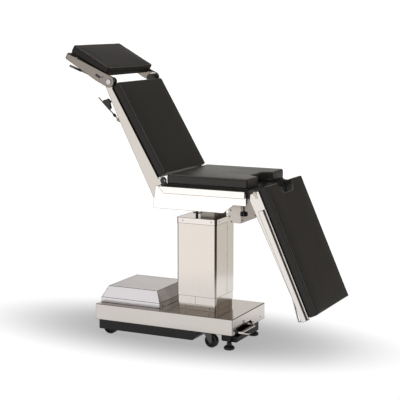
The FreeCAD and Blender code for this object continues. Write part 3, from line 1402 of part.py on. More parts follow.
def lever_place(piece, section, x, y, z, turn):
    """Puts a lever, modelled along its own X, at a point of a section that is itself turned."""
    local = FreeCAD.Placement(FreeCAD.Vector(x, y, z), FreeCAD.Rotation(FreeCAD.Vector(0, 1, 0), turn))
    piece.Placement = section.multiply(local)
    return piece


def back_lever():
    """Release lever under the head end of the back, with the flat moulded grip that the rod is let into."""
    section = FreeCAD.Placement(FreeCAD.Vector(size("back_pivot_x"), 0, size("back_pivot_z")),
                                FreeCAD.Rotation(FreeCAD.Vector(0, 1, 0), size("back_angle")))
    spot = (-size("back_lever_x"), -size("back_lever_y"), -size("back_lever_drop"), -size("back_lever_angle"))
    lever = new_body("back_lever")
    bar = sketch_on(lever, "YZ_Plane", "0")
    circle(bar, "0", "0", "dim.back_lever_radius")
    pad(lever, bar, "dim.back_lever_length", flip=True)
    hub = sketch_on(lever, "XZ_Plane", "0")
    circle(hub, "0", "0", "dim.lever_hub_radius")
    pad(lever, hub, "dim.lever_hub_length", symmetric=True)
    bore = sketch_on(lever, "XZ_Plane", "0")
    circle(bore, "0", "0", "dim.lever_pin_radius + dim.running_fit")
    pocket(lever, bore, "2 * dim.lever_hub_length", symmetric=True)
    lever_place(lever, section, *spot)
    grip = new_body("back_lever_grip")
    start = "-dim.back_grip_start"
    end = "-dim.back_grip_start - dim.back_grip_length"
    face = sketch_on(grip, "XZ_Plane", "-dim.back_grip_thickness")
    polygon(face, [
        (start, "-dim.grip_lip"),
        (start, "dim.grip_root"),
        (start + " - dim.grip_crest_start + dim.grip_flare", "dim.grip_waist"),
        (start + " - dim.grip_crest_start", "dim.grip_crest"),
        (end + " + dim.grip_crest_end", "dim.grip_crest"),
        (end + " + dim.grip_crest_end - dim.grip_flare", "dim.grip_waist"),
        (end, "dim.grip_nose"),
        (end, "-dim.grip_lip"),
    ])
    pad(grip, face, "dim.back_grip_thickness")
    groove = sketch_on(grip, "YZ_Plane", "0")
    circle(groove, "0", "0", "dim.back_lever_radius")
    pocket(grip, groove, "dim.back_lever_length")
    lever_place(grip, section, *spot)


def head_section():
    """Head cushion, board, end bar and the barrels of the head hinge."""
    cushion = new_body("head_cushion")
    outline = sketch_on(cushion, "XY_Plane", HEAD_UNDER)
    rectangle(outline, HEAD_END, "-dim.head_setback", "-dim.mattress_width / 2", "dim.mattress_width / 2")
    pad(cushion, outline, "dim.head_thickness")
    fillet(cushion, "dim.mattress_radius", at_level(size("head_top")))
    place_head(cushion)

    board = new_body("head_board")
    outline = sketch_on(board, "XY_Plane", HEAD_BOARD)
    rectangle(outline, HEAD_END + " + dim.board_setback", "-dim.head_setback - dim.board_setback",
              "-dim.mattress_width / 2 + dim.board_setback / 2",
              "dim.mattress_width / 2 - dim.board_setback / 2")
    pad(board, outline, "dim.board_thickness")
    rib = sketch_on(board, "XY_Plane", HEAD_BOARD)
    rectangle(rib, HEAD_END + " + dim.head_rib_inset", "-dim.head_setback - dim.head_rib_inset",
              "-" + ARM_INNER, ARM_INNER)
    pad(board, rib, "dim.board_thickness - dim.overlap")
    lever_bracket(board, "dim.head_lever_x", "dim.head_lever_y", "dim.head_lever_drop", "dim.head_bracket_root",
                  HEAD_BOARD + " + dim.overlap")
    place_head(board)

    bar = new_body("head_cross_bar")
    arm_end = "-dim.head_arm_length"
    web = sketch_on(bar, "XZ_Plane", "0")
    rectangle(web, arm_end + " - dim.head_bar_thickness", arm_end,
              HEAD_BOARD + " - dim.head_bar_height", HEAD_BOARD)
    pad(bar, web, "2 * (%s + dim.head_arm_thickness)" % ARM_INNER, symmetric=True)
    flange = sketch_on(bar, "XZ_Plane", "0")
    rectangle(flange, arm_end + " - dim.head_bar_thickness", arm_end + " + dim.head_bar_flange",
              HEAD_BOARD + " - dim.head_bar_thickness", HEAD_BOARD)
    pad(bar, flange, "2 * " + ARM_INNER, symmetric=True)
    place_head(bar)


def head_arm(side, hand):
    """Tapered arm of the head frame, outside the back plate at the hinge disc."""
    body = new_body("head_arm_" + hand)
    offset = side_offset(side, ARM_INNER, "dim.head_arm_thickness")
    face = sketch_on(body, "XZ_Plane", offset)
    polygon(face, [
        ("0", "dim.head_disc_radius"),
        ("-dim.head_arm_length", "dim.head_arm_end_top"),
        ("-dim.head_arm_length", "-dim.head_arm_end_bottom"),
        ("-dim.head_arm_root_x", "-dim.head_arm_root_drop"),
        ("0", "-dim.head_disc_radius"),
    ])
    pad(body, face, "dim.head_arm_thickness")
    disc = sketch_on(body, "XZ_Plane", offset)
    circle(disc, "0", "0", "dim.head_disc_radius")
    pad(body, disc, "dim.head_arm_thickness")
    bore = sketch_on(body, "XZ_Plane", "0")
    circle(bore, "0", "0", "dim.hinge_pin_radius + dim.running_fit")
    pocket(body, bore, "4 * dim.back_plate_inner", symmetric=True)
    place_head(body)


def head_lever():
    """Catch lever under the head board, hung from its own bracket."""
    x, z = head_point()
    section = FreeCAD.Placement(FreeCAD.Vector(x, 0, z),
                                FreeCAD.Rotation(FreeCAD.Vector(0, 1, 0), size("head_angle")))
    lever = new_body("head_lever")
    bar = sketch_on(lever, "YZ_Plane", "0")
    circle(bar, "0", "0", "dim.head_lever_radius")
    pad(lever, bar, "dim.head_lever_length", flip=True)
    tip = sketch_on(lever, "YZ_Plane", "-dim.head_lever_length + dim.head_tip_length")
    circle(tip, "0", "0", "dim.head_tip_radius")
    pad(lever, tip, "dim.head_tip_length + dim.overlap", flip=True)
    hub = sketch_on(lever, "XZ_Plane", "0")
    circle(hub, "0", "0", "dim.lever_hub_radius")
    pad(lever, hub, "dim.lever_hub_length", symmetric=True)
    bore = sketch_on(lever, "XZ_Plane", "0")
    circle(bore, "0", "0", "dim.lever_pin_radius + dim.running_fit")
    pocket(lever, bore, "2 * dim.lever_hub_length", symmetric=True)
    lever_place(lever, section, -size("head_lever_x"), -size("head_lever_y"), -size("head_lever_drop"),
                -size("head_lever_angle"))


def head_hinge_pins():
    """Headed pins of the head hinge, each with its round black barrel inside the back plates."""
    body = new_body("head_hinge_pins")
    outer = "(%s + dim.head_arm_thickness)" % ARM_INNER
    for side, _ in SIDES:
        length = "(%s - dim.back_plate_inner)" % outer
        shank = sketch_on(body, "XZ_Plane", side_offset(side, "dim.back_plate_inner", length))
        circle(shank, "0", "0", "dim.hinge_pin_radius")
        pad(body, shank, length)
        head = sketch_on(body, "XZ_Plane", side_offset(side, outer, "dim.hinge_head_height"))
        circle(head, "0", "0", "dim.hinge_head_radius")
        pad(body, head, "dim.hinge_head_height")
        barrel = sketch_on(body, "XZ_Plane", side_offset(side, "(dim.back_plate_inner - dim.barrel_length)",
                                                         "dim.barrel_length"))
        circle(barrel, "0", "0", "dim.barrel_radius")
        pad(body, barrel, "dim.barrel_length")
    x, z = head_point()
    place(body, x, 0, z)


def leg_section():
    """Leg cushion and the board under it, both notched at the seat end."""
    for label, low, thick, start, half in (
            ("leg_cushion", LEG_UNDER, "dim.mattress_thickness", "-dim.leg_setback",
             "dim.mattress_width / 2"),
            ("leg_board", LEG_BOARD + " - dim.board_thickness", "dim.board_thickness",
             "-dim.leg_setback + dim.board_setback",
             "(dim.back_plate_inner - dim.leg_board_inset)")):
        body = new_body(label)
        outline = sketch_on(body, "XY_Plane", low)
        foot = "dim.leg_reach" + ("" if label == "leg_cushion" else " - dim.board_setback")
        notch = "dim.leg_notch_half_width"
        corner = "dim.leg_notch_corner"
        base = "-dim.leg_setback + dim.leg_notch_depth"
        polygon(outline, [
            (foot, "-" + half),
            (foot, half),
            (start, half),
            (start, notch),
            (base + " - " + corner, notch),
            (base, notch + " - " + corner),
            (base, "-%s + %s" % (notch, corner)),
            (base + " - " + corner, "-" + notch),
            (start, "-" + notch),
            (start, "-" + half),
        ])
        pad(body, outline, thick)
        if label == "leg_cushion":
            fillet(body, "dim.mattress_radius", at_level(size("mattress_top") - size("leg_pivot_z")))
        else:
            wide = sketch_on(body, "XY_Plane", low)
            rectangle(wide, "dim.leg_board_shoulder + dim.leg_notch_depth", foot,
                      "-dim.back_plate_inner", "dim.back_plate_inner")
            pad(body, wide, thick)
        place_leg(body)


def leg_side_plate(side, hand):
    """Side plate of the leg section with the accessory rail welded along it."""
    body = new_body("leg_side_plate_" + hand)
    face = sketch_on(body, "XZ_Plane", side_offset(side, "dim.back_plate_inner", "dim.leg_plate_thickness"))
    polygon(face, [
        ("dim.leg_plate_start", "-dim.leg_plate_start_drop"),
        ("dim.leg_plate_root_x", "-dim.leg_plate_root_drop"),
        ("dim.leg_plate_waist_x", "-dim.leg_plate_waist_drop"),
        ("dim.leg_plate_end", "-dim.leg_plate_end_drop"),
        ("dim.leg_plate_end", LEG_BOARD),
        ("dim.leg_plate_start", LEG_BOARD),
    ])
    pad(body, face, "dim.leg_plate_thickness")
    eye = sketch_on(body, "XZ_Plane", side_offset(side, "dim.back_plate_inner", "dim.leg_plate_thickness"))
    circle(eye, "0", "0", "dim.leg_eye_radius")
    pad(body, eye, "dim.leg_plate_thickness")
    posts = sketch_on(body, "XZ_Plane", side_offset(side, LEG_PLATE_OUTER, "dim.leg_rail_gap"))
    for share in LEG_RAIL_POSTS:
        circle(posts, "dim.leg_rail_start + %g * (dim.leg_plate_end - dim.leg_rail_start)" % share,
               "dim.leg_rail_top - dim.leg_rail_height / 2", "dim.rail_post_radius")
    pad(body, posts, "dim.leg_rail_gap")
    rail_inner = "(%s + dim.leg_rail_gap)" % LEG_PLATE_OUTER
    rail = sketch_on(body, "XZ_Plane", side_offset(side, rail_inner, "dim.rail_thickness"))
    rectangle(rail, "dim.leg_rail_start", "dim.leg_plate_end", "dim.leg_rail_top - dim.leg_rail_height",
              "dim.leg_rail_top")
    pad(body, rail, "dim.rail_thickness")
    bore = sketch_on(body, "XZ_Plane", "0")
    circle(bore, "0", "0", "dim.hinge_pin_radius + dim.running_fit")
    pocket(body, bore, "4 * dim.back_plate_inner", symmetric=True)
    place_leg(body)


def leg_release_bail():
    """Bent wire bail across the foot end that frees the leg section's lock."""
    start, drop = size("bail_x"), -size("bail_drop")
    end, low = size("bail_end_x"), -size("bail_end_drop")
    half = size("bail_half_width")
    ear = size("back_plate_inner") - size("running_fit")
    bail = rod("leg_release_bail", [
        (start, -ear, drop),
        (start, -half, drop),
        (end, -half, low),
        (end, half, low),
        (start, half, drop),
        (start, ear, drop),
    ], size("bail_radius"), size("bail_bend"))
    place_leg(bail)


def screw_group(label, spots):
    """Dome-headed screws, each with its head standing on the face it holds."""
    ball = Part.makeSphere(size("screw_dome_radius"))
    keep = Part.makeCylinder(size("screw_radius"), size("screw_head"))
    dome = ball.translated(FreeCAD.Vector(0, 0, size("screw_head") - size("screw_dome_radius"))).common(keep)
    shapes = []
    for point, direction in spots:
        screw = dome.copy()
        screw.Placement = FreeCAD.Placement(
            FreeCAD.Vector(*point), FreeCAD.Rotation(FreeCAD.Vector(0, 0, 1), FreeCAD.Vector(*direction)))
        shapes.append(screw)
    group = doc.addObject("Part::Feature", label)
    group.Label = label
    group.Shape = Part.makeCompound(shapes)
    nodes.append(group)


def screws():
    """Screws that hold the collar, the base cover's end and the column cap."""
    half = size("casing_half_width") + size("cap_lip")
    foot = size("casing_foot_end") + size("cap_lip")
    band = size("cap_top") - size("cap_band") / 2
    wide = size("casing_half_width") - size("screw_end_inset")
    spots = []
    for side, _ in SIDES:
        for x in (size("casing_head_end") + size("cap_screw_head_inset"),
                  size("casing_foot_end") - size("cap_screw_foot_inset")):
            spots.append(((x, side * half, band), (0, side, 0)))
        spots.append(((foot, side * wide, band), (1, 0, 0)))
    screw_group("cap_screws", spots)
    gap = size("casing_wall") + size("skirt_gap") + size("skirt_wall") + size("collar_gap")
    side_face = size("casing_half_width") - gap
    level = (size("cover_top") + size("skirt_bottom")) / 2
    spots = []
    for side, _ in SIDES:
        for x in (size("casing_head_end") + size("collar_screw_head_inset"),
                  size("casing_foot_end") - size("collar_screw_foot_inset")):
            spots.append(((x, side * side_face, level), (0, side, 0)))
        spots.append(((size("casing_foot_end") - gap, side * wide, level), (1, 0, 0)))
    spots.append(((size("cover_foot_end"), size("cover_width") / 2 - size("cover_screw_inset"),
                   size("cover_bottom") + size("cover_screw_rise")), (1, 0, 0)))
    screw_group("base_screws", spots)


base_cover()
chassis()
power_box_cover()
power_unit()
rear_wheels()
for side, hand in SIDES:
    castor(side, hand)
    brake_foot(side, hand)
pedals()
column_covers()
column_cap()
lift_drive()
head_block()
tilt_cradle()
tilt_ram()
seat_mattress()
seat_frame()
seat_housing()
for side, hand in SIDES:
    seat_side_plate(side, hand)
    seat_rail(side, hand)
    clamp_knob(side, hand)
    back_side_plate(side, hand)
    head_arm(side, hand)
    leg_side_plate(side, hand)
pins("back_hinge_pins", size("back_pivot_x"), size("back_pivot_z"),
     LUG_INNER, "(dim.back_plate_inner + dim.back_plate_thickness)")
pins("leg_hinge_bolts", size("leg_pivot_x"), size("leg_pivot_z"),
     LUG_INNER, LEG_PLATE_OUTER)
back_section()
back_lever()
head_section()
head_lever()
head_hinge_pins()
leg_section()
leg_release_bail()
screws()
doc.recompute()

for thing in doc.Objects:
    if "Invalid" in thing.State or "Error" in thing.State:
        raise RuntimeError("%s failed in %s" % (thing.Name, thing.Label))
for node in nodes:
    if node.Shape.isNull() or not node.Shape.isValid():
        raise RuntimeError("no valid solid in " + node.Label)

os.makedirs("parts", exist_ok=True)
for node in nodes:
    node.Shape.exportStep(os.path.join("parts", node.Label + ".step"))
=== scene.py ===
import math

import bmesh
import bpy
from mathutils import Matrix, Vector
from mathutils.bvhtree import BVHTree


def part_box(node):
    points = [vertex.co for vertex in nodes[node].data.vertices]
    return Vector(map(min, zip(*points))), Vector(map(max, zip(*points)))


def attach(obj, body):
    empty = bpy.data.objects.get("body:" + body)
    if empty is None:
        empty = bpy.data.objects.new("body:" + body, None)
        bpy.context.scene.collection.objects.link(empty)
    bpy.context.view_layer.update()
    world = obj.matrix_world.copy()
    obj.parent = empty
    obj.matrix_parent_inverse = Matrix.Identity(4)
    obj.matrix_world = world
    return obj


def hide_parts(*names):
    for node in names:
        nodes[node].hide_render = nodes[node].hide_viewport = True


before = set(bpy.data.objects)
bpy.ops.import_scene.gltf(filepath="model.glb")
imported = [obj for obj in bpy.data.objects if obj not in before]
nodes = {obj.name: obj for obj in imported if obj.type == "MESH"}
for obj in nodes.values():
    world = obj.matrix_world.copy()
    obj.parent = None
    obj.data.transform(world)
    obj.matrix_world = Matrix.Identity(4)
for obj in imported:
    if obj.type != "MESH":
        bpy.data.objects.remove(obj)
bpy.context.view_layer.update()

scene = bpy.context.scene

# Camera. A long lens about 6.7 m away, a little above the mattress, looks slightly down at the
# patient's right-hand side of the table from its leg end.
CAMERA_SPOT = (3.0025, -6.1790, 1.8841)
CAMERA_TURN = 26.236
CAMERA_DIP = 8.805
CAMERA_LENS = 108.03

lens = bpy.data.cameras.new("studio_camera")
lens.lens = CAMERA_LENS
lens.sensor_width = 36
lens.clip_end = 200
camera = bpy.data.objects.new("studio_camera", lens)
camera.location = CAMERA_SPOT
camera.rotation_euler = (math.radians(90 - CAMERA_DIP), 0, math.radians(CAMERA_TURN))
scene.collection.objects.link(camera)
scene.camera = camera
scene.view_settings.view_transform = "Standard"


# Studio. A round sheet of white paper in a dusky room with a pale ceiling. Broad soft boxes stand
# low in front of the table, beyond its leg end and behind it, so upright steel is bright on
# those sides and brown at its corners, where the steel colour also has a painted dark reflection.
def linear(hex_colour):
    """An sRGB hex colour as the linear red, green, blue and alpha that a shader takes."""
    parts = [int(hex_colour[i:i + 2], 16) / 255 for i in (1, 3, 5)]
    parts = [c / 12.92 if c <= 0.04045 else ((c + 0.055) / 1.055) ** 2.4 for c in parts]
    return (*parts, 1.0)


def add_node(tree, kind, values=(), links=(), **settings):
    """One shader node with its settings, its fixed inputs and its linked inputs."""
    made = tree.nodes.new(kind)
    for name, value in settings.items():
        setattr(made, name, value)
    for socket, value in values:
        made.inputs[socket].default_value = value
    for socket, source in links:
        tree.links.new(source, made.inputs[socket])
    return made


def glow(tree, way, turn, rise, inner, outer):
    """How much of a round soft box is seen along a way: 1 inside its inner angle, 0 beyond its outer."""
    across, up = math.radians(turn), math.radians(rise)
    middle = (math.sin(across) * math.cos(up), -math.cos(across) * math.cos(up), math.sin(up))
    near = add_node(tree, "ShaderNodeVectorMath", operation="DOT_PRODUCT", values=[(1, middle)],
                    links=[(0, way)])
    share = add_node(tree, "ShaderNodeMapRange", interpolation_type="SMOOTHSTEP",
                     values=[("From Min", math.cos(math.radians(outer))),
                             ("From Max", math.cos(math.radians(inner)))],
                     links=[("Value", near.outputs["Value"])])
    return share.outputs["Result"]


ROOM_GLOWS = (
    (60, -12, 34, 48, "#575049"),
    (153.5, -13, 8, 14, "#d8d4ce"),
    (-157, 9, 9, 14, "#d6d3cf"),
    (-26.5, -12, 21, 25.5, "#fffdfb"),
)


def studio_room():
    """The walls, the ceiling and the two soft boxes, as the table reflects them."""
    world = bpy.data.worlds.new("studio_room")
    world.use_nodes = True
    tree = world.node_tree
    tree.nodes.clear()
    way = add_node(tree, "ShaderNodeTexCoord").outputs["Generated"]
    axes = add_node(tree, "ShaderNodeSeparateXYZ", links=[("Vector", way)])
    upward = add_node(tree, "ShaderNodeMapRange", interpolation_type="SMOOTHSTEP",
                      values=[("From Min", 0.58), ("From Max", 0.95)],
                      links=[("Value", axes.outputs["Z"])])
    walls = add_node(tree, "ShaderNodeMix", data_type="RGBA",
                     values=[(6, linear("#867f77")), (7, linear("#e4e6ec"))],
                     links=[(0, upward.outputs["Result"])])
    # Each glow: where it stands, how far it spreads, and its colour.
    seen_in_steel = walls.outputs[2]
    for turn, rise, inner, outer, colour in ROOM_GLOWS:
        seen_in_steel = add_node(tree, "ShaderNodeMix", data_type="RGBA", values=[(7, linear(colour))],
                                 links=[(0, glow(tree, way, turn, rise, inner, outer)),
                                        (6, seen_in_steel)]).outputs[2]
    lit = add_node(tree, "ShaderNodeBackground", values=[("Strength", 1.2)], links=[("Color", seen_in_steel)])
    # Straight ahead the camera sees clean white paper.
    paper = add_node(tree, "ShaderNodeBackground", values=[("Color", linear("#ffffff")), ("Strength", 1.1)])
    seen = add_node(tree, "ShaderNodeLightPath")
    both = add_node(tree, "ShaderNodeMixShader",
                    links=[(0, seen.outputs["Is Camera Ray"]), (1, lit.outputs[0]), (2, paper.outputs[0])])
    add_node(tree, "ShaderNodeOutputWorld", links=[("Surface", both.outputs[0])])
    scene.world = world


studio_room()


def soft_box(name, spot, aim, width, height, watts, colour):
    """A rectangular lamp that faces a point. Steel mirrors the room's own glows and not the lamp."""
    lamp = bpy.data.lights.new(name, "AREA")
    lamp.shape = "RECTANGLE"
    lamp.size = width
    lamp.size_y = height
    lamp.energy = watts
    lamp.color = linear(colour)[:3]
    holder = bpy.data.objects.new(name, lamp)
    holder.location = spot
    holder.visible_glossy = False
    holder.rotation_euler = (Vector(aim) - Vector(spot)).to_track_quat("-Z", "Y").to_euler()
    scene.collection.objects.link(holder)


soft_box("ceiling_box", (0.2, -0.4, 4.6), (0.0, 0.0, 0.4), 3.6, 3.0, 95, "#ffffff")
soft_box("front_box", (-2.2, -5.2, 2.9), (0.0, 0.0, 0.7), 2.4, 2.0, 60, "#fffdf9")
soft_box("foot_box", (4.6, -0.6, 2.6), (0.4, 0.0, 0.8), 2.0, 2.0, 30, "#fffaf4")


def sweep_paper(middle, reach):
    """Matt white paper with a painted soft shadow: its glow is grey round the table and clean white farther
    out.
    """
    paper = bpy.data.materials.new("matt_paper_painted_shadow")
    paper.use_nodes = True
    tree = paper.node_tree
    surface = tree.nodes["Principled BSDF"]
    surface.inputs["Roughness"].default_value = 0.9
    surface.inputs["Specular IOR Level"].default_value = 0.1
    surface.inputs["Emission Strength"].default_value = 0.93
    spot = add_node(tree, "ShaderNodeTexCoord")
    spread = add_node(tree, "ShaderNodeMapping", vector_type="TEXTURE",
                      values=[("Location", (*middle, 0)), ("Scale", (*reach, 1))],
                      links=[("Vector", spot.outputs["Object"])])
    far = add_node(tree, "ShaderNodeVectorMath", operation="LENGTH", links=[(0, spread.outputs[0])])
    share = add_node(tree, "ShaderNodeMapRange", interpolation_type="SMOOTHSTEP",
                     values=[("From Min", 0.32), ("From Max", 1.06)],
                     links=[("Value", far.outputs["Value"])])
    tone = add_node(tree, "ShaderNodeMix", data_type="RGBA",
                    values=[(6, linear("#b6b5b6")), (7, linear("#ffffff"))],
                    links=[(0, share.outputs["Result"])])
    dull = add_node(tree, "ShaderNodeVectorMath", operation="SCALE", values=[("Scale", 0.12)],
                    links=[(0, tone.outputs[2])])
    tree.links.new(dull.outputs[0], surface.inputs["Base Color"])
    tree.links.new(tone.outputs[2], surface.inputs["Emission Color"])
    edge = add_node(tree, "ShaderNodeMapRange", interpolation_type="SMOOTHSTEP",
                    values=[("From Min", 0.92), ("From Max", 1.06)],
                    links=[("Value", far.outputs["Value"])])
    bright = add_node(tree, "ShaderNodeEmission", values=[("Color", linear("#ffffff")), ("Strength", 1.02)])
    mixed = add_node(tree, "ShaderNodeMixShader",
                     links=[(0, edge.outputs["Result"]), (1, surface.outputs[0]), (2, bright.outputs[0])])
    tree.links.new(mixed.outputs[0], tree.nodes["Material Output"].inputs["Surface"])
    return paper


FLOOR_RADIUS = 1.80
SHADOW_MIDDLE = (-0.19, 0.065)
SHADOW_REACH = (1.53, 0.76)
floor_sheet = bmesh.new()
bmesh.ops.create_circle(floor_sheet, cap_ends=True, segments=128, radius=FLOOR_RADIUS)
floor_mesh = bpy.data.meshes.new("studio_floor")
floor_sheet.to_mesh(floor_mesh)
floor_sheet.free()
floor = bpy.data.objects.new("studio_floor", floor_mesh)
floor_mesh.materials.append(sweep_paper(SHADOW_MIDDLE, SHADOW_REACH))
scene.collection.objects.link(floor)


# Cast base frame. One heavy grey-iron casting in black enamel: deck, deep plinth and the tray
# at the leg end. The enamel is sprayed over the cast skin, which stays slightly pebbled.
def dress(finish, *names):
    """Gives CAD nodes one material in every slot."""
    for name in names:
        for holder in nodes[name].material_slots:
            holder.material = finish


def enamelled_iron(name, colour, worn, roughness):
    """Sprayed enamel on cast iron: low gloss, orange-peel skin, paler dust on its rubbed places."""
    finish = bpy.data.materials.new(name)
    finish.use_nodes = True
    tree = finish.node_tree
    surface = tree.nodes["Principled BSDF"]
    surface.inputs["IOR"].default_value = 1.5
    spot = add_node(tree, "ShaderNodeTexCoord")
    # Orange peel is about 3 mm from crest to crest.
    peel = add_node(tree, "ShaderNodeTexNoise", values=[("Scale", 330), ("Detail", 2)],
                    links=[("Vector", spot.outputs["Object"])])
    rubbed = add_node(tree, "ShaderNodeTexNoise", values=[("Scale", 9), ("Detail", 4)],
                      links=[("Vector", spot.outputs["Object"])])
    share = add_node(tree, "ShaderNodeMapRange", values=[("From Min", 0.45), ("From Max", 0.8)],
                     links=[("Value", rubbed.outputs["Fac"])])
    tone = add_node(tree, "ShaderNodeMix", data_type="RGBA",
                    values=[(6, linear(colour)), (7, linear(worn))],
                    links=[(0, share.outputs["Result"])])
    gloss = add_node(tree, "ShaderNodeMapRange",
                     values=[("To Min", roughness - 0.07), ("To Max", roughness + 0.1)],
                     links=[("Value", rubbed.outputs["Fac"])])
    relief = add_node(tree, "ShaderNodeBump", values=[("Strength", 0.25), ("Distance", 0.0004)],
                      links=[("Height", peel.outputs["Fac"])])
    tree.links.new(tone.outputs[2], surface.inputs["Base Color"])
    tree.links.new(gloss.outputs["Result"], surface.inputs["Roughness"])
    tree.links.new(relief.outputs["Normal"], surface.inputs["Normal"])
    return finish


black_enamel = enamelled_iron("black_enamel_on_cast_iron", "#070606", "#121010", 0.50)
dress(black_enamel, "chassis")


# Wheels, castors and brake feet. Black rubber tyres on plastic hubs turn on steel axles; the
# castor forks are pressed and painted; each brake foot is moulded rubber on a steel spindle.
def moulded_rubber(name, colour, dust, roughness):
    """Moulded rubber: dull, nearly black, with grey floor dust in its fine pits."""
    finish = bpy.data.materials.new(name)
    finish.use_nodes = True
    tree = finish.node_tree
    surface = tree.nodes["Principled BSDF"]
    surface.inputs["IOR"].default_value = 1.52
    surface.inputs["Roughness"].default_value = roughness
    spot = add_node(tree, "ShaderNodeTexCoord")
    # The mould's blasted texture is under 1 mm; it is drawn at 2 mm so that it can be seen.
    pits = add_node(tree, "ShaderNodeTexNoise", values=[("Scale", 500), ("Detail", 3)],
                    links=[("Vector", spot.outputs["Object"])])
    scuffs = add_node(tree, "ShaderNodeTexNoise", values=[("Scale", 28), ("Detail", 5)],
                      links=[("Vector", spot.outputs["Object"])])
    share = add_node(tree, "ShaderNodeMapRange", values=[("From Min", 0.5), ("From Max", 0.75)],
                     links=[("Value", scuffs.outputs["Fac"])])
    tone = add_node(tree, "ShaderNodeMix", data_type="RGBA",
                    values=[(6, linear(colour)), (7, linear(dust))],
                    links=[(0, share.outputs["Result"])])
    relief = add_node(tree, "ShaderNodeBump", values=[("Strength", 0.3), ("Distance", 0.0003)],
                      links=[("Height", pits.outputs["Fac"])])
    tree.links.new(tone.outputs[2], surface.inputs["Base Color"])
    tree.links.new(relief.outputs["Normal"], surface.inputs["Normal"])
    return finish


tyre_rubber = moulded_rubber("moulded_tyre_rubber", "#1b1a1a", "#3a3837", 0.62)
foot_rubber = moulded_rubber("moulded_foot_rubber", "#121212", "#2b2a2a", 0.55)
grey_enamel = enamelled_iron("grey_enamel_on_pressed_steel", "#4c4b4a", "#6a6866", 0.40)
for side in ("right", "left"):
    dress(tyre_rubber, "rear_wheel_" + side, "castor_wheel_" + side)
    dress(foot_rubber, "brake_foot_" + side)
    dress(grey_enamel, "castor_fork_" + side)


def piece_from(shape, name, finish, body):
    """Turns a built shape into a piece that rides on one body and wears the finish it is given."""
    mesh = bpy.data.meshes.new(name)
    shape.to_mesh(mesh)
    shape.free()
    for face in mesh.polygons:
        face.use_smooth = True
    mesh.materials.append(finish)
    piece = bpy.data.objects.new(name, mesh)
    scene.collection.objects.link(piece)
    piece.data.set_sharp_from_angle(angle=math.radians(35))
    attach(piece, body)
    return piece


def turned(shape, profile, spot, way, steps=28):
    """Adds a turned form: radius and height pairs from its foot to its top, standing on a face."""
    place = Matrix.Translation(spot) @ Vector(way).to_track_quat("Z", "Y").to_matrix().to_4x4()
    rings = []
    for radius, height in profile:
        ring = []
        for i in range(steps):
            angle = math.tau * i / steps
            point = Vector((radius * math.cos(angle), radius * math.sin(angle), height))
            ring.append(shape.verts.new(place @ point))
        rings.append(ring)
    for low, high in zip(rings, rings[1:]):
        for i in range(steps):
            shape.faces.new((low[i], low[(i + 1) % steps], high[(i + 1) % steps], high[i]))
    shape.faces.new(reversed(rings[0]))
    shape.faces.new(rings[-1])


# Grey nylon hub caps clipped over the axle ends, 26 mm across.
hub_nylon = moulded_rubber("moulded_grey_nylon", "#2b2a29", "#454341", 0.45)
CAP_PROFILE = [(0.0130, -0.004), (0.0130, 0.0004), (0.0118, 0.0018),
               (0.0060, 0.0026), (0.0050, 0.0014), (0.0008, 0.0012)]
for side, hand in ((-1, "right"), (1, "left")):
    for node in ("rear_wheel_" + hand, "castor_wheel_" + hand):
        low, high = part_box(node)
        middle = (low + high) / 2
        caps = bmesh.new()
        face = high.y if side > 0 else low.y
        turned(caps, CAP_PROFILE, (middle.x, face, middle.z), (0, side, 0))
        piece_from(caps, node + "_hub_cap", hub_nylon, node)


# Axle and pedals. Ground and hard-chromed steel bars; the two pedals hang from one shaft in the
# gate of the base cover and are polished by the shoes that press them.
# How much colour is left in steel bends, where a dark reflection is painted in.
BEND_SHADE = 0.45


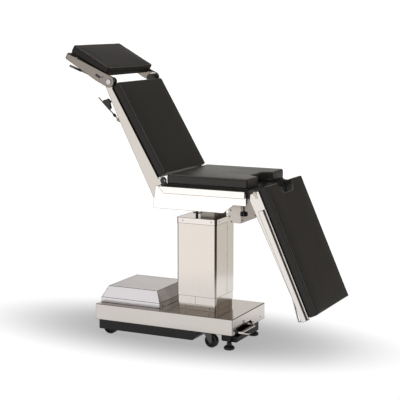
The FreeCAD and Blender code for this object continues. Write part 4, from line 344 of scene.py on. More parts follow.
def steel(name, colour, roughness, grain, lengthwise, turn=0.0, streak=0.10, clouds=0.05):
    """Bright steel with fine parallel scratches along one direction, with a dark reflection painted into its
    bends.

    grain is the pitch of the scratches in metres, lengthwise the axis they run along, and turn
    the pitch in degrees of the section that the sheet belongs to.
    """
    finish = bpy.data.materials.new(name)
    finish.use_nodes = True
    tree = finish.node_tree
    surface = tree.nodes["Principled BSDF"]
    surface.inputs["Metallic"].default_value = 1.0
    surface.inputs["Anisotropic"].default_value = 0.35
    spot = add_node(tree, "ShaderNodeTexCoord")
    level = add_node(tree, "ShaderNodeMapping", vector_type="TEXTURE",
                     values=[("Rotation", (0, math.radians(turn), 0))],
                     links=[("Vector", spot.outputs["Object"])])
    # Across the scratches the pattern repeats at the grain's pitch, along them 200 times slower.
    pitch = [1 / grain] * 3
    pitch["xyz".index(lengthwise)] = 1 / (200 * grain)
    drawn = add_node(tree, "ShaderNodeMapping", values=[("Scale", pitch)],
                     links=[("Vector", level.outputs[0])])
    scratches = add_node(tree, "ShaderNodeTexNoise",
                         values=[("Scale", 1.0), ("Detail", 3), ("Roughness", 0.65)],
                         links=[("Vector", drawn.outputs[0])])
    wiped = add_node(tree, "ShaderNodeTexNoise", values=[("Scale", 7), ("Detail", 3)],
                     links=[("Vector", spot.outputs["Object"])])
    value = add_node(tree, "ShaderNodeMath", operation="MULTIPLY_ADD",
                     values=[(1, streak), (2, 1 - streak / 2)],
                     links=[(0, scratches.outputs["Fac"])])
    shade = add_node(tree, "ShaderNodeMath", operation="MULTIPLY_ADD",
                     values=[(1, clouds), (2, 1 - clouds / 2)],
                     links=[(0, wiped.outputs["Fac"])])
    both = add_node(tree, "ShaderNodeMath", operation="MULTIPLY",
                    links=[(0, value.outputs[0]), (1, shade.outputs[0])])
    # A bend faces between two axes; there the colour is darkened towards BEND_SHADE, a painted dark
    # reflection.
    turned_face = add_node(tree, "ShaderNodeMapping", vector_type="TEXTURE",
                           values=[("Rotation", (0, math.radians(turn), 0))],
                           links=[("Vector", spot.outputs["Normal"])])
    facing = add_node(tree, "ShaderNodeVectorMath", operation="ABSOLUTE",
                      links=[(0, turned_face.outputs[0])])
    parts = add_node(tree, "ShaderNodeSeparateXYZ", links=[("Vector", facing.outputs[0])])
    widest = add_node(tree, "ShaderNodeMath", operation="MAXIMUM",
                      links=[(0, parts.outputs["X"]), (1, parts.outputs["Y"])])
    square = add_node(tree, "ShaderNodeMath", operation="MAXIMUM",
                      links=[(0, widest.outputs[0]), (1, parts.outputs["Z"])])
    flat = add_node(tree, "ShaderNodeMapRange", interpolation_type="SMOOTHSTEP",
                    values=[("From Min", 0.90), ("From Max", 0.99), ("To Min", BEND_SHADE), ("To Max", 1.0)],
                    links=[("Value", square.outputs[0])])
    whole = add_node(tree, "ShaderNodeMath", operation="MULTIPLY",
                     links=[(0, both.outputs[0]), (1, flat.outputs["Result"])])
    tone = add_node(tree, "ShaderNodeVectorMath", operation="SCALE", values=[(0, linear(colour)[:3])],
                    links=[("Scale", whole.outputs[0])])
    gloss = add_node(tree, "ShaderNodeMapRange",
                     values=[("From Min", 0.3), ("From Max", 0.7),
                             ("To Min", max(roughness - 0.3 * streak, 0.02)),
                             ("To Max", roughness + 0.4 * streak)],
                     links=[("Value", scratches.outputs["Fac"])])
    relief = add_node(tree, "ShaderNodeBump", values=[("Strength", 0.4 * streak), ("Distance", 0.0002)],
                      links=[("Height", scratches.outputs["Fac"])])
    tree.links.new(tone.outputs[0], surface.inputs["Base Color"])
    tree.links.new(gloss.outputs["Result"], surface.inputs["Roughness"])
    tree.links.new(relief.outputs["Normal"], surface.inputs["Normal"])
    return finish


# Hard chrome is ground to about a 0.3 mm lay; it is drawn at 1 mm so that it can be seen.
chromed_steel = steel("polished_chromed_steel", "#d9d2cc", 0.10, 0.001, "y", streak=0.04)
ground_shaft = steel("ground_shaft_steel", "#b9b2aa", 0.24, 0.001, "y")
satin_rod = steel("satin_chromed_rod", "#98918a", 0.28, 0.001, "y")
dress(ground_shaft, "rear_axle", "pedal_shaft")
dress(chromed_steel, "brake_pedal", "release_pedal")


# Base cover. Stainless sheet folded over the casting, with a fine ground finish along its
# length, nearly a mirror on the flat top, where feet and cloths have polished it.
# The grit leaves scratches 0.1 mm apart; they are drawn at 1.6 mm so that they can be seen.
SHEET_GRAIN = 0.0016
cover_sheet = steel("ground_stainless_base_sheet", "#cbc5c0", 0.14, SHEET_GRAIN, "x")
dress(cover_sheet, "base_cover")
# Painted shade for the edges and folds of the stainless sheets, drawn as dark brown lines.
edge_shade_finish = steel("painted_edge_shade", "#6a6056", 0.40, SHEET_GRAIN, "x")


def edge_lines(node, body, radius=0.0009, least_turn=35, finish=edge_shade_finish):
    """Painted shade along the rounded outer folds and cut edges of a sheet node: thin dark tubes that show as
    brown lines.
    """
    source = bmesh.new()
    source.from_mesh(nodes[node].data)
    bmesh.ops.remove_doubles(source, verts=source.verts, dist=0.00002)
    source.normal_update()
    shape = bmesh.new()
    for edge in source.edges:
        if len(edge.link_faces) != 2 or not edge.is_convex:
            continue
        first, second = (face.normal for face in edge.link_faces)
        if first.angle(second, 0.0) < math.radians(least_turn):
            continue
        inward = (first + second).normalized() * (-0.5 * radius)
        start, end = (vertex.co + inward for vertex in edge.verts)
        ahead = (end - start).normalized()
        across = ahead.cross(first).normalized()
        over = ahead.cross(across)
        rings = [[shape.verts.new(point + (across * math.cos(t) + over * math.sin(t)) * radius)
                  for t in (math.tau * k / 6 for k in range(6))] for point in (start, end)]
        for k in range(6):
            shape.faces.new((rings[0][k], rings[0][(k + 1) % 6], rings[1][(k + 1) % 6], rings[1][k]))
        shape.faces.new(reversed(rings[0]))
        shape.faces.new(rings[1])
    source.free()
    bmesh.ops.recalc_face_normals(shape, faces=shape.faces)
    piece_from(shape, node + "_edges", finish, body)


edge_lines("base_cover", "base")


# Power unit and its cover. The cover is bead-blasted stainless sheet, so it is paler and duller
# than the rest: a lavender grey that takes the ceiling's light.
def blasted_steel(name, colour, roughness):
    """Bead-blasted stainless: an even satin with no lines in it."""
    finish = bpy.data.materials.new(name)
    finish.use_nodes = True
    tree = finish.node_tree
    surface = tree.nodes["Principled BSDF"]
    surface.inputs["Metallic"].default_value = 1.0
    spot = add_node(tree, "ShaderNodeTexCoord")
    # Bead craters are about 0.1 mm; they are drawn at 1.5 mm so that they can be seen.
    craters = add_node(tree, "ShaderNodeTexNoise", values=[("Scale", 650), ("Detail", 2)],
                       links=[("Vector", spot.outputs["Object"])])
    wiped = add_node(tree, "ShaderNodeTexNoise", values=[("Scale", 6), ("Detail", 3)],
                     links=[("Vector", spot.outputs["Object"])])
    shade = add_node(tree, "ShaderNodeMath", operation="MULTIPLY_ADD", values=[(1, 0.08), (2, 0.96)],
                     links=[(0, wiped.outputs["Fac"])])
    tone = add_node(tree, "ShaderNodeVectorMath", operation="SCALE", values=[(0, linear(colour)[:3])],
                    links=[("Scale", shade.outputs[0])])
    gloss = add_node(tree, "ShaderNodeMapRange",
                     values=[("To Min", roughness - 0.04), ("To Max", roughness + 0.06)],
                     links=[("Value", wiped.outputs["Fac"])])
    relief = add_node(tree, "ShaderNodeBump", values=[("Strength", 0.2), ("Distance", 0.0002)],
                      links=[("Height", craters.outputs["Fac"])])
    tree.links.new(tone.outputs[0], surface.inputs["Base Color"])
    tree.links.new(gloss.outputs["Result"], surface.inputs["Roughness"])
    tree.links.new(relief.outputs["Normal"], surface.inputs["Normal"])
    return finish


blasted_sheet = blasted_steel("bead_blasted_stainless", "#d9d6da", 0.24)
dress(blasted_sheet, "power_box_cover")
edge_lines("power_box_cover", "base", 0.0013, 20)
dress(grey_enamel, "power_unit")


def butt_seam(name, body, start, end, width, out, finish):
    """A shallow filled joint line that stands a hair proud of a flat face."""
    shape = bmesh.new()
    start, end, out = Vector(start), Vector(end), Vector(out)
    side = (end - start).cross(out).normalized() * (width / 2)
    rise = out * 0.00025
    rows = []
    for share, height in ((-1, -1), (-0.8, 0.6), (0, 1), (0.8, 0.6), (1, -1)):
        shift = side * share + rise * height
        rows.append((shape.verts.new(start + shift), shape.verts.new(end + shift)))
    for a, b in zip(rows, rows[1:]):
        shape.faces.new((a[0], b[0], b[1], a[1]))
    shape.faces.new((rows[-1][0], rows[0][0], rows[0][1], rows[-1][1]))
    shape.faces.new([row[0] for row in reversed(rows)])
    shape.faces.new([row[1] for row in rows])
    return piece_from(shape, name, finish, body)


# Dark filler in the real seams, also used for the painted shade lines at the folds.
seam_filler_and_fold_shade = steel("grimed_seam_and_painted_fold_shade", "#4c4338", 0.45, SHEET_GRAIN, "z")


def fold_lines(name, body, low, high, bend, level, width):
    """A painted shade line at a fold: brown, at one level round the four upright faces of a folded cover,
    short of its bends.
    """
    for face, side, hand in ((low.y, -1, "right"), (high.y, 1, "left")):
        butt_seam(name + "_" + hand, body, (low.x + bend, face, level), (high.x - bend, face, level),
                  width, (0, side, 0), seam_filler_and_fold_shade)
    for face, side, hand in ((low.x, -1, "head"), (high.x, 1, "foot")):
        butt_seam(name + "_" + hand, body, (face, low.y + bend, level), (face, high.y - bend, level),
                  width, (side, 0, 0), seam_filler_and_fold_shade)


# The painted shade line at the fold between the upright band and the slopes.
FOLD_LEVEL, FOLD_WIDTH = 0.2210, 0.0026
low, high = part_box("power_box_cover")
fold_lines("power_cover_fold", "base", low, high, 0.0, FOLD_LEVEL, FOLD_WIDTH)


def screw_drives(name, body, spots, radius=0.0021):
    """Dark hexagon recesses in screw heads, each with its raised rim."""
    shape = bmesh.new()
    for spot, way in spots:
        turned(shape, [(radius, -0.0004), (radius, 0.0002), (radius * 0.8, 0.0001), (radius * 0.2, -0.0002)],
               spot, way, steps=6)
    piece_from(shape, name, black_enamel, body)


def dome_screws(name, finish, body, spots, radius, height):
    """Domed screw heads that stand on a face."""
    shape = bmesh.new()
    for spot, way in spots:
        turned(shape, [(radius, -0.001), (radius, height * 0.35), (radius * 0.9, height * 0.7),
                       (radius * 0.6, height * 0.95), (radius * 0.1, height)], spot, way)
    return piece_from(shape, name, finish, body)


POWER_FOOT, POWER_SCREW_Y, POWER_SCREW_LEVEL, POWER_SCREW_HEAD = -0.215, 0.1447, 0.203, 0.0018
power_screws = [((POWER_FOOT, y, POWER_SCREW_LEVEL), (1, 0, 0)) for y in (-POWER_SCREW_Y, POWER_SCREW_Y)]
power_drives = [((x + POWER_SCREW_HEAD, y, z), way) for (x, y, z), way in power_screws]
dome_screws("power_cover_screws", ground_shaft, "base",
            power_screws, 0.0036, POWER_SCREW_HEAD)
screw_drives("power_cover_screw_drives", "base", power_drives, 0.0015)


# Telescopic column. Collar, skirt, casing and cap are folded stainless sheets that slide in each
# other, ground upright, closed by a butt seam; hexagon-socket screws hold the collar and the cap.
upright_sheet = steel("ground_stainless_column_sheet", "#d6cfc9", 0.15, SHEET_GRAIN, "z", streak=0.18)
dress(upright_sheet, "column_collar", "column_skirt", "column_casing")
cap_sheet = steel("ground_stainless_cap", "#dcd6d2", 0.12, SHEET_GRAIN, "x")
dress(cap_sheet, "column_cap")
edge_lines("column_cap", "lift", 0.0010)
edge_lines("column_casing", "lift")
# The hem of the skirt shows as a thin painted shade line just above the collar.
SKIRT_BEND, HEM_RISE, HEM_WIDTH = 0.0130, 0.0010, 0.0014
low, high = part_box("column_skirt")
fold_lines("skirt_hem", "skirt", low, high, SKIRT_BEND, low.z + HEM_RISE, HEM_WIDTH)
dress(ground_shaft, "lift_cylinder")
dress(chromed_steel, "base_screws")
dress(cap_sheet, "cap_screws")
dress(chromed_steel, "lift_ram")

# The sockets of those screws, from where the part has them.
COLLAR_Y, COLLAR_FOOT, COLLAR_LEVEL = 0.1174, 0.113, 0.20775
CAP_Y, CAP_FOOT, CAP_LEVEL = 0.1259, 0.1215, 0.7135
COLLAR_SCREWS_X, CAP_SCREWS_X = (-0.076, 0.075), (-0.091, 0.090)
COVER_FOOT, COVER_SCREW_Y, COVER_SCREW_LEVEL = 0.273, 0.1615, 0.119
SCREW_Y, SCREW_HEAD = 0.0794, 0.0016
COLLAR_DRIVE, CAP_DRIVE = 0.0030, 0.0018
base_drives = [((x, s * (COLLAR_Y + SCREW_HEAD), COLLAR_LEVEL), (0, s, 0))
               for s in (-1, 1) for x in COLLAR_SCREWS_X]
base_drives += [((COLLAR_FOOT + SCREW_HEAD, s * SCREW_Y, COLLAR_LEVEL), (1, 0, 0)) for s in (-1, 1)]
base_drives += [((COVER_FOOT + SCREW_HEAD, COVER_SCREW_Y, COVER_SCREW_LEVEL), (1, 0, 0))]
cap_drives = [((x, s * (CAP_Y + SCREW_HEAD), CAP_LEVEL), (0, s, 0))
              for s in (-1, 1) for x in CAP_SCREWS_X]
cap_drives += [((CAP_FOOT + SCREW_HEAD, s * SCREW_Y, CAP_LEVEL), (1, 0, 0)) for s in (-1, 1)]
screw_drives("collar_screw_drives", "base", base_drives, COLLAR_DRIVE)
screw_drives("cap_screw_drives", "lift", cap_drives, CAP_DRIVE)


# The skirt is closed by a seam on its right face, the casing by a riveted seam on its foot face.
SEAM_WIDTH = 0.0022
SKIRT_SIDE, SKIRT_SEAM_X, SKIRT_SEAM_ENDS = -0.1221, -0.0129, (0.2265, 0.2725)
CASING_FOOT, CASING_SEAM_Y, CASING_SEAM_ENDS = 0.120, 0.0272, (0.280, 0.695)
RIVET_LEVELS, RIVET_RADIUS, RIVET_HEIGHT = (0.290, 0.497, 0.660), 0.0032, 0.0014
start, end = ((SKIRT_SEAM_X, SKIRT_SIDE, z) for z in SKIRT_SEAM_ENDS)
butt_seam("skirt_seam", "skirt", start, end, SEAM_WIDTH, (0, -1, 0), seam_filler_and_fold_shade)
start, end = ((CASING_FOOT, CASING_SEAM_Y, z) for z in CASING_SEAM_ENDS)
butt_seam("casing_seam", "lift", start, end, SEAM_WIDTH, (1, 0, 0), seam_filler_and_fold_shade)
rivets = [((CASING_FOOT, CASING_SEAM_Y, z), (1, 0, 0)) for z in RIVET_LEVELS]
dome_screws("casing_rivets", ground_shaft, "lift", rivets, RIVET_RADIUS, RIVET_HEIGHT)


# Tilt head. Grey cast block and cradle on the column cap with ground pins, and the black-oxide
# rod of the long-tilt cylinder with its cross pin.
head_enamel = enamelled_iron("grey_enamel_on_tilt_casting", "#86807a", "#96908a", 0.30)
black_oxide = enamelled_iron("black_oxide_on_steel", "#0f0f10", "#222224", 0.30)
dress(head_enamel, "head_block", "tilt_cradle")
dress(ground_shaft, "trend_pin", "roll_pin")
dress(black_oxide, "tilt_ram")
bearing_plate = steel("ground_bearing_plate", "#8f8982", 0.30, SHEET_GRAIN, "x", streak=0.03, clouds=0.02)
low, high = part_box("head_block")
PLATE_INSET, PLATE_STEP = 0.002, 0.0008
plate_x = (low.x + PLATE_INSET, high.x - PLATE_INSET)
plate_z = (low.z + PLATE_INSET, high.z - PLATE_INSET)


def flat_insert(name, finish, body, place, corners, faces, height):
    """Thin plates of one outline on both side faces, drawn in a section's own length and depth.

    They are sunk a little into the face that they stand on.
    """
    sunk = 0.0002
    shape = bmesh.new()
    for face in faces:
        side = 1 if face > 0 else -1
        inner = [shape.verts.new(place @ Vector((x, face - side * sunk, z))) for x, z in corners]
        outer = [shape.verts.new(place @ Vector((x, face + side * height, z))) for x, z in corners]
        shape.faces.new(inner)
        shape.faces.new(outer)
        for i in range(len(corners)):
            k = (i + 1) % len(corners)
            shape.faces.new((inner[i], inner[k], outer[k], outer[i]))
    bmesh.ops.recalc_face_normals(shape, faces=shape.faces)
    piece_from(shape, name, finish, body)


plate_corners = [(plate_x[0], plate_z[0]), (plate_x[1], plate_z[0]),
                 (plate_x[1], plate_z[1]), (plate_x[0], plate_z[1])]
flat_insert("head_block_bearing_plates", bearing_plate, "lift", Matrix.Identity(4),
            plate_corners, (low.y, high.y), PLATE_STEP)


# Seat frame and housing. The frame is welded box section in grey enamel; the housing under its
# leg end is folded blasted sheet held by small black screws.
frame_enamel = enamelled_iron("grey_enamel_on_seat_frame", "#3d3c3b", "#575553", 0.38)
housing_sheet = blasted_steel("bead_blasted_housing_sheet", "#bab4af", 0.28)
dress(frame_enamel, "seat_frame")
dress(housing_sheet, "seat_housing")
HOUSING_SIDE, HOUSING_FOOT = 0.113, 0.268
SIDE_SCREWS = ((0.2065, 0.792), (0.1990, 0.756), (0.2117, 0.7265), (0.2560, 0.866))
END_SCREWS_Y, END_SCREW_LEVELS = (-0.09, 0.09), (0.735, 0.865)
PAN_RADIUS, PAN_HEIGHT = 0.0042, 0.0022
housing_spots = [((x, s * HOUSING_SIDE, z), (0, s, 0)) for s in (-1, 1) for x, z in SIDE_SCREWS]
housing_spots += [((HOUSING_FOOT, y, z), (1, 0, 0)) for y in END_SCREWS_Y for z in END_SCREW_LEVELS]
dome_screws("housing_screws", black_oxide, "seat", housing_spots, PAN_RADIUS, PAN_HEIGHT)


# Seat side plates and accessory rails. 4 mm stainless plate cut to shape and ground along its
# length, with a drawn flat bar on stand-offs outside it.
side_plate = steel("ground_stainless_plate", "#fbf8f5", 0.24, SHEET_GRAIN, "x", streak=0.02, clouds=0.01)
rail_bar = steel("drawn_stainless_bar", "#f3f0ed", 0.18, SHEET_GRAIN, "x", streak=0.02, clouds=0.01)
for hand in ("right", "left"):
    dress(side_plate, "seat_side_plate_" + hand)
    dress(rail_bar, "seat_rail_" + hand)
    edge_lines("seat_side_plate_" + hand, "seat")
    edge_lines("seat_rail_" + hand, "seat", 0.0012)


# Clamp knobs. Star knobs of moulded black plastic on plated threaded rods.
black_plastic = moulded_rubber("moulded_black_phenolic", "#0e0e0f", "#1d1d1e", 0.30)
for hand in ("right", "left"):
    dress(black_plastic, "clamp_knob_" + hand)


# Boards under the cushions. Black melamine-faced compact board that lets X-rays through, sawn
# and waxed at its edges.
board_face = enamelled_iron("black_melamine_on_board", "#0f0e0e", "#1c1a19", 0.5)
dress(board_face, "seat_board", "back_board", "head_board", "leg_board")


# Cushions. Foam slabs in black vinyl-coated fabric. The cover is cut as a top, a boxing strip
# and a base, sewn with a piped seam round the top edge, and pressed out by the foam inside.
def vinyl(name, colour, roughness):
    """Embossed vinyl on knitted cloth: soft sheen, fine leather grain, faint sag ripples."""
    finish = bpy.data.materials.new(name)
    finish.use_nodes = True
    tree = finish.node_tree
    surface = tree.nodes["Principled BSDF"]
    surface.inputs["IOR"].default_value = 1.50
    spot = add_node(tree, "ShaderNodeTexCoord")
    # The embossed grain has cells about 1.2 mm across, drawn at 2.5 mm so that they can be seen.
    cells = add_node(tree, "ShaderNodeTexVoronoi", feature="DISTANCE_TO_EDGE", values=[("Scale", 400)],
                     links=[("Vector", spot.outputs["Object"])])
    crease = add_node(tree, "ShaderNodeMapRange", values=[("From Min", 0.0), ("From Max", 0.12)],
                      links=[("Value", cells.outputs["Distance"])])
    ripple = add_node(tree, "ShaderNodeTexNoise", values=[("Scale", 22), ("Detail", 2)],
                      links=[("Vector", spot.outputs["Object"])])
    wiped = add_node(tree, "ShaderNodeTexNoise", values=[("Scale", 5), ("Detail", 4)],
                     links=[("Vector", spot.outputs["Object"])])
    shade = add_node(tree, "ShaderNodeMath", operation="MULTIPLY_ADD", values=[(1, 0.3), (2, 0.85)],
                     links=[(0, wiped.outputs["Fac"])])
    tone = add_node(tree, "ShaderNodeVectorMath", operation="SCALE", values=[(0, linear(colour)[:3])],
                    links=[("Scale", shade.outputs[0])])
    gloss = add_node(tree, "ShaderNodeMapRange",
                     values=[("To Min", roughness - 0.06), ("To Max", roughness + 0.08)],
                     links=[("Value", wiped.outputs["Fac"])])
    fine = add_node(tree, "ShaderNodeBump", values=[("Strength", 0.25), ("Distance", 0.0003)],
                    links=[("Height", crease.outputs["Result"])])
    soft = add_node(tree, "ShaderNodeBump", values=[("Strength", 0.35), ("Distance", 0.002)],
                    links=[("Height", ripple.outputs["Fac"]), ("Normal", fine.outputs["Normal"])])
    tree.links.new(tone.outputs[0], surface.inputs["Base Color"])
    tree.links.new(gloss.outputs["Result"], surface.inputs["Roughness"])
    tree.links.new(soft.outputs["Normal"], surface.inputs["Normal"])
    return finish


cover_vinyl = vinyl("embossed_black_vinyl", "#131312", 0.46)
# The seat's cover is drawn paler and glossier, a painted sheen on its top, and the head's darker, a painted
# shade.
seat_vinyl_painted_sheen = vinyl("black_vinyl_painted_sheen", "#201f1c", 0.35)
head_vinyl_painted_shade = vinyl("black_vinyl_painted_shade", "#0f0d0c", 0.48)
# The piping is drawn paler than the cover, a painted highlight along the top edges.
piping_painted_highlight = vinyl("piped_seam_vinyl_painted_highlight", "#5c5852", 0.36)

START_INSET = 0.0003
EDGE_ROUND = 0.003
VOXEL = 0.0070
PRESSURE = 4
STEPS = 14


def slab(outline, low, high):
    """The cushion's foam: its outline between two levels, with its edges rounded."""
    shape = bmesh.new()
    base = [shape.verts.new((x, y, low)) for x, y in outline]
    top = [shape.verts.new((x, y, high)) for x, y in outline]
    count = len(outline)
    shape.faces.new(list(reversed(base)))
    shape.faces.new(top)
    for i in range(count):
        shape.faces.new((base[i], base[(i + 1) % count], top[(i + 1) % count], top[i]))
    bmesh.ops.recalc_face_normals(shape, faces=shape.faces)
    bmesh.ops.bevel(shape, geom=list(shape.edges), offset=EDGE_ROUND, segments=3, affect="EDGES", profile=0.5)
    return shape


def inset_outline(outline, inset):
    """The outline moved inwards by an even distance; it runs anticlockwise."""
    moved = []
    count = len(outline)
    for i in range(count):
        before, here, after = Vector(outline[i - 1]), Vector(outline[i]), Vector(outline[(i + 1) % count])
        first, second = (here - before).normalized(), (after - here).normalized()
        left = (Vector((-first.y, first.x)), Vector((-second.y, second.x)))
        middle = (left[0] + left[1]).normalized()
        moved.append(here + middle * inset / max(middle.dot(left[0]), 0.3))
    return [(p.x, p.y) for p in moved]


def as_mesh(piece):
    """The piece's mesh with all its modifiers worked out."""
    ready = piece.evaluated_get(bpy.context.evaluated_depsgraph_get())
    return bpy.data.meshes.new_from_object(ready)


def filled_cushion(name, outline, low, high, crown, place, body, node, cover=cover_vinyl):
    """One cushion: a slab that is remeshed, blown up by cloth pressure and capped at its crown."""
    shape = slab(inset_outline(outline, START_INSET), low, high - 0.25 * crown)
    mesh = bpy.data.meshes.new(name)
    shape.to_mesh(mesh)
    shape.free()
    cushion = bpy.data.objects.new(name, mesh)
    scene.collection.objects.link(cushion)
    remesh = cushion.modifiers.new("even_cloth", "REMESH")
    remesh.mode = "VOXEL"
    remesh.voxel_size = VOXEL
    cushion.data = as_mesh(cushion)
    cushion.modifiers.clear()
    rest = [v.co.copy() for v in cushion.data.vertices]
    held = cushion.vertex_groups.new(name="held")
    held.add([i for i, p in enumerate(rest) if p.z < low + 0.004], 1.0, "REPLACE")
    cloth = cushion.modifiers.new("filling", "CLOTH")
    cloth.settings.quality = 5
    cloth.settings.use_pressure = True
    cloth.settings.uniform_pressure_force = PRESSURE
    cloth.settings.effector_weights.gravity = 0
    cloth.settings.vertex_group_mass = "held"
    for step in range(1, STEPS + 1):
        scene.frame_set(step)
    blown = as_mesh(cushion)
    moves = [v.co - p for v, p in zip(blown.vertices, rest)]
    cushion.modifiers.clear()
    scene.frame_set(1)
    most = max(move.length for move in moves)
    share = min(1.0, crown / most)
    for vertex, start, move in zip(cushion.data.vertices, rest, moves):
        vertex.co = start + move * share
    smooth = cushion.modifiers.new("fine_cloth", "SUBSURF")
    smooth.levels = 1
    cushion.data = as_mesh(cushion)
    cushion.modifiers.clear()
    for vertex in cushion.data.vertices:
        vertex.co.z = max(vertex.co.z, low)
        vertex.co.y = min(max(vertex.co.y, -MATTRESS_HALF), MATTRESS_HALF)
    for face in cushion.data.polygons:
        face.use_smooth = True
    piped_seam(name + "_piping", cushion.data, inset_outline(outline, 0.002), high - 0.002, place, body)
    cushion.data.transform(place)
    cushion.data.materials.clear()
    cushion.data.materials.append(cover)
    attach(cushion, body)
    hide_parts(node)
    return cushion


PIPING_RADIUS = 0.0013
PIPING_STEP = 0.008


def piped_seam(name, mesh, outline, level, place, body):
    """The piping along the top edge, laid on the cushion's own surface."""
    surface = BVHTree.FromPolygons([v.co for v in mesh.vertices], [p.vertices for p in mesh.polygons])
    path = []
    count = len(outline)
    for i in range(count):
        start, end = Vector(outline[i]), Vector(outline[(i + 1) % count])
        pieces = max(1, round((end - start).length / PIPING_STEP))
        for k in range(pieces):
            at = start.lerp(end, k / pieces)
            path.append(surface.find_nearest((at.x, at.y, level))[0])
    total = len(path)
    for _ in range(3):
        path = [(path[i - 1] + 2 * path[i] + path[(i + 1) % total]) / 4 for i in range(total)]
    shape = bmesh.new()
    rings = []
    for i in range(total):
        ahead = (path[(i + 1) % total] - path[i - 1]).normalized()
        side = ahead.cross(Vector((0, 0, 1))).normalized()
        up = side.cross(ahead)
        rings.append([shape.verts.new(path[i] + (side * math.cos(t) + up * math.sin(t)) * PIPING_RADIUS)
                      for t in (math.tau * k / 8 for k in range(8))])
    for i in range(total):
        a, b = rings[i - 1], rings[i]
        for k in range(8):
            shape.faces.new((a[k], a[(k + 1) % 8], b[(k + 1) % 8], b[k]))
    bmesh.ops.recalc_face_normals(shape, faces=shape.faces)
    bmesh.ops.transform(shape, matrix=place, verts=shape.verts)
    piece_from(shape, name, piping_painted_highlight, body)


def section_place(x, z, turn):
    """Where a section's own flat drawing stands: its hinge and its pitch."""
    return Matrix.Translation((x, 0, z)) @ Matrix.Rotation(math.radians(turn), 4, "Y")


MATTRESS_HALF = 0.260
SEAT_PLACE = Matrix.Identity(4)
SEAT_HEAD, SEAT_FOOT = -0.1257, 0.372
SEAT_LOW, SEAT_TOP, SEAT_CROWN = 0.9433, 0.9953, 0.004
NOTCH_NEAR, NOTCH_FAR, NOTCH_DEPTH, NOTCH_CORNER = -0.106, 0.094, 0.057, 0.030
SEAT_OUTLINE = [
    (SEAT_HEAD, -MATTRESS_HALF),
    (SEAT_FOOT, -MATTRESS_HALF),
    (SEAT_FOOT, NOTCH_NEAR),
    (SEAT_FOOT - NOTCH_DEPTH + NOTCH_CORNER, NOTCH_NEAR),
    (SEAT_FOOT - NOTCH_DEPTH, NOTCH_NEAR + NOTCH_CORNER),
    (SEAT_FOOT - NOTCH_DEPTH, NOTCH_FAR - NOTCH_CORNER),
    (SEAT_FOOT - NOTCH_DEPTH + NOTCH_CORNER, NOTCH_FAR),
    (SEAT_FOOT, NOTCH_FAR),
    (SEAT_FOOT, MATTRESS_HALF),
    (SEAT_HEAD, MATTRESS_HALF),
]
filled_cushion("seat_pad", SEAT_OUTLINE, SEAT_LOW, SEAT_TOP, SEAT_CROWN, SEAT_PLACE,
               "seat", "seat_cushion", seat_vinyl_painted_sheen)


# Back section. Cushion on its board between two tapered stainless plates that turn on the seat
# hinges; a grey cross tube ties the plates, and a chromed lever with a black grip frees them.
BACK_TURN = 59.5
BACK_PLACE = section_place(-0.1497, 0.958, BACK_TURN)
BACK_HEAD, BACK_SEAT = -0.616, -0.024
BACK_LOW, BACK_TOP, BACK_CROWN = -0.0147, 0.0373, 0.006
BACK_OUTLINE = [(BACK_HEAD, -MATTRESS_HALF), (BACK_SEAT, -MATTRESS_HALF),
                (BACK_SEAT, MATTRESS_HALF), (BACK_HEAD, MATTRESS_HALF)]
filled_cushion("back_pad", BACK_OUTLINE, BACK_LOW, BACK_TOP, BACK_CROWN, BACK_PLACE,
               "back", "back_cushion")
back_plate = steel("ground_stainless_back_plate", "#cbc6c1", 0.22, SHEET_GRAIN, "x",
                   turn=BACK_TURN, streak=0.03, clouds=0.01)
for hand in ("right", "left"):
    dress(back_plate, "back_side_plate_" + hand)
    edge_lines("back_side_plate_" + hand, "back")
dress(ground_shaft, "back_hinge_pins")
dress(grey_enamel, "back_cross_tube")
dress(satin_rod, "back_lever")
dress(black_plastic, "back_lever_grip")

# A moulded cover hides each hinge, with a small white cap on the side of the seat.
PLATE_FACE = 0.267
COVER_SPOT, COVER_RADIUS, COVER_HEIGHT = (-0.1400, 0.958), 0.0200, 0.0040
CAP_SPOT, CAP_RADIUS = (-0.1310, 0.9585), 0.0034
cover_profile = [(COVER_RADIUS, -0.0002), (COVER_RADIUS, 0.6 * COVER_HEIGHT),
                 (0.9 * COVER_RADIUS, COVER_HEIGHT), (0.1 * COVER_RADIUS, COVER_HEIGHT)]
hinge_covers = bmesh.new()
for side in (-1, 1):
    turned(hinge_covers, cover_profile, (COVER_SPOT[0], side * PLATE_FACE, COVER_SPOT[1]), (0, side, 0))
piece_from(hinge_covers, "back_hinge_covers", black_plastic, "back")
white_nylon = moulded_rubber("moulded_white_nylon", "#e9e7e4", "#d6d3cf", 0.35)
dome_screws("back_hinge_caps", white_nylon, "back",
            [((CAP_SPOT[0], s * (PLATE_FACE + COVER_HEIGHT), CAP_SPOT[1]), (0, s, 0)) for s in (-1, 1)],
            CAP_RADIUS, 0.0012)

# The lever turns on a bright bolt, and a black clamp is screwed to its rod.
CLAMP_REACH = 0.036
LEVER_PIVOT, LEVER_FACE, LEVER_MIDDLE = (-0.4444, 1.2869), -0.245, -0.238
LEVER_WAY = Vector((-0.725, 0, 0.689)).normalized()
dome_screws("back_lever_bolt", ground_shaft, "back_lever",
            [((LEVER_PIVOT[0], LEVER_FACE, LEVER_PIVOT[1]), (0, -1, 0))], 0.0055, 0.0025)
clamp_profile = [(0.0030, -0.009), (0.0070, -0.009), (0.0082, -0.006),
                 (0.0082, 0.006), (0.0070, 0.009), (0.0030, 0.009)]
clamp = bmesh.new()
clamp_spot = Vector((LEVER_PIVOT[0], LEVER_MIDDLE, LEVER_PIVOT[1])) + LEVER_WAY * CLAMP_REACH
turned(clamp, clamp_profile, clamp_spot, LEVER_WAY)
piece_from(clamp, "back_lever_clamp", black_plastic, "back_lever")


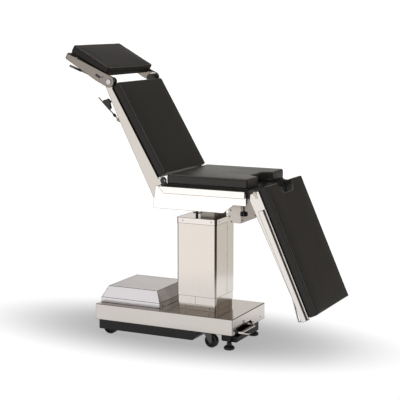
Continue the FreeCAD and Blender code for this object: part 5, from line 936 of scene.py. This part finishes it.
# Head section. A thinner cushion on a board between two tapered arms, joined by an angle bar;
# round black barrels carry its hinge, and a chromed lever frees its catch.
HEAD_TURN = 29.0
HEAD_PLACE = section_place(-0.48648, 1.50472, HEAD_TURN)
HEAD_END, HEAD_NECK = -0.308, -0.041
HEAD_LOW, HEAD_TOP, HEAD_CROWN = 0.0197, 0.0667, 0.006
HEAD_OUTLINE = [(HEAD_END, -MATTRESS_HALF), (HEAD_NECK, -MATTRESS_HALF),
                (HEAD_NECK, MATTRESS_HALF), (HEAD_END, MATTRESS_HALF)]
filled_cushion("head_pad", HEAD_OUTLINE, HEAD_LOW, HEAD_TOP, HEAD_CROWN, HEAD_PLACE,
               "head", "head_cushion", head_vinyl_painted_shade)
# The arms and the angle bar are a darker copy of the stainless plate, with their shade painted into the
# colour.
arm_plate_painted_shade = steel("ground_stainless_arm_painted_shade", "#8b857f", 0.24, SHEET_GRAIN, "x",
                  turn=HEAD_TURN, streak=0.02, clouds=0.01)
hinge_enamel = enamelled_iron("gloss_black_enamel", "#0c0b0b", "#1b1918", 0.22)
dress(arm_plate_painted_shade, "head_arm_right", "head_arm_left", "head_cross_bar")
for node in ("head_arm_right", "head_arm_left", "head_cross_bar"):
    edge_lines(node, "head")
dress(hinge_enamel, "head_hinge_pins")
dress(satin_rod, "head_lever")

# Each arm has a dark catch window with a screw beside it.
ARM_FACE = 0.2745
ARM_SCREW_X, ARM_SCREW_Z = -0.0474, 0.0029
WINDOW = [(-0.0935, -0.0140), (-0.0572, -0.0140), (-0.0572, -0.0005), (-0.0935, -0.0005)]
flat_insert("head_catch_windows", black_oxide, "head", HEAD_PLACE, WINDOW,
            (-ARM_FACE, ARM_FACE), 0.0004)
arm_screws = [(HEAD_PLACE @ Vector((ARM_SCREW_X, s * ARM_FACE, ARM_SCREW_Z)), (0, s, 0)) for s in (-1, 1)]
dome_screws("head_arm_screws", black_oxide, "head", arm_screws, 0.0040, 0.0016)

# A pale cap closes each end of the hinge.
HINGE_SPOT, HINGE_FACE, HINGE_CAP_RADIUS = (-0.4865, 1.5047), 0.2775, 0.0160
hinge_cap = steel("ground_hinge_cap", "#c3c2c6", 0.26, 0.001, "x", streak=0.03)
hinge_ends = [((HINGE_SPOT[0], s * HINGE_FACE, HINGE_SPOT[1]), (0, s, 0)) for s in (-1, 1)]
dome_screws("head_hinge_caps", hinge_cap, "head", hinge_ends, HINGE_CAP_RADIUS, 0.0012)

# The lever ends in a black sleeve.
HEAD_LEVER_WAY = Vector((-math.cos(math.radians(20.5)), 0, math.sin(math.radians(20.5))))
HEAD_LEVER_ROOT, SLEEVE_START = Vector((-0.6165, -0.200, 1.5219)), 0.102
sleeve = bmesh.new()
sleeve_profile = [(0.0035, 0), (0.0065, 0.001), (0.0070, 0.006),
                  (0.0070, 0.076), (0.0055, 0.081), (0.0010, 0.0825)]
turned(sleeve, sleeve_profile, HEAD_LEVER_ROOT + HEAD_LEVER_WAY * SLEEVE_START, HEAD_LEVER_WAY)
piece_from(sleeve, "head_lever_sleeve", black_plastic, "head_lever")


# Leg section. Cushion and board between stainless plates that carry their own rails; it hangs
# on two bolts, and a bent wire bail across its end frees the lock.
LEG_TURN = 66.0
LEG_PLACE = section_place(0.4211, 0.917, LEG_TURN)
LEG_NOTCH_HALF, LEG_NOTCH_DEPTH, LEG_NOTCH_CORNER = 0.100, 0.064, 0.034
LEG_HEAD, LEG_FOOT = -0.0188, 0.7322
LEG_LOW, LEG_TOP, LEG_CROWN = 0.0263, 0.0783, 0.005
LEG_BASE = LEG_HEAD + LEG_NOTCH_DEPTH
LEG_OUTLINE = [
    (LEG_FOOT, -MATTRESS_HALF),
    (LEG_FOOT, MATTRESS_HALF),
    (LEG_HEAD, MATTRESS_HALF),
    (LEG_HEAD, LEG_NOTCH_HALF),
    (LEG_BASE - LEG_NOTCH_CORNER, LEG_NOTCH_HALF),
    (LEG_BASE, LEG_NOTCH_HALF - LEG_NOTCH_CORNER),
    (LEG_BASE, -LEG_NOTCH_HALF + LEG_NOTCH_CORNER),
    (LEG_BASE - LEG_NOTCH_CORNER, -LEG_NOTCH_HALF),
    (LEG_HEAD, -LEG_NOTCH_HALF),
    (LEG_HEAD, -MATTRESS_HALF),
]
filled_cushion("leg_pad", LEG_OUTLINE, LEG_LOW, LEG_TOP, LEG_CROWN, LEG_PLACE, "leg", "leg_cushion")
leg_plate = steel("ground_stainless_leg_plate", "#dcd8d5", 0.24, SHEET_GRAIN, "x",
                  turn=LEG_TURN, streak=0.02, clouds=0.01)
# A paler painted shade along the edges of the leg plates.
pale_edge_shade_finish = steel("painted_pale_edge_shade", "#938b82", 0.35, SHEET_GRAIN, "x")
for hand in ("right", "left"):
    dress(leg_plate, "leg_side_plate_" + hand)
    edge_lines("leg_side_plate_" + hand, "leg", 0.0010, finish=pale_edge_shade_finish)
dress(ground_shaft, "leg_hinge_bolts")
# A flat steel strip along each plate covers the side of the board under the cushion.
STRIP = [(0.1000, 0.0140), (0.7300, 0.0140), (0.7300, 0.0258), (0.1000, 0.0258)]
BOARD_SIDE, STRIP_DEPTH = 0.261, 0.0068
flat_insert("leg_board_strips", leg_plate, "leg", LEG_PLACE, STRIP,
            (-BOARD_SIDE, BOARD_SIDE), STRIP_DEPTH)
STUD_X, STUD_Z = 0.0198, 0.0004
leg_studs = [(LEG_PLACE @ Vector((STUD_X, s * PLATE_FACE, STUD_Z)), (0, s, 0)) for s in (-1, 1)]
dome_screws("leg_lock_studs", chromed_steel, "leg", leg_studs, 0.0075, 0.0020)
dress(chromed_steel, "leg_release_bail")
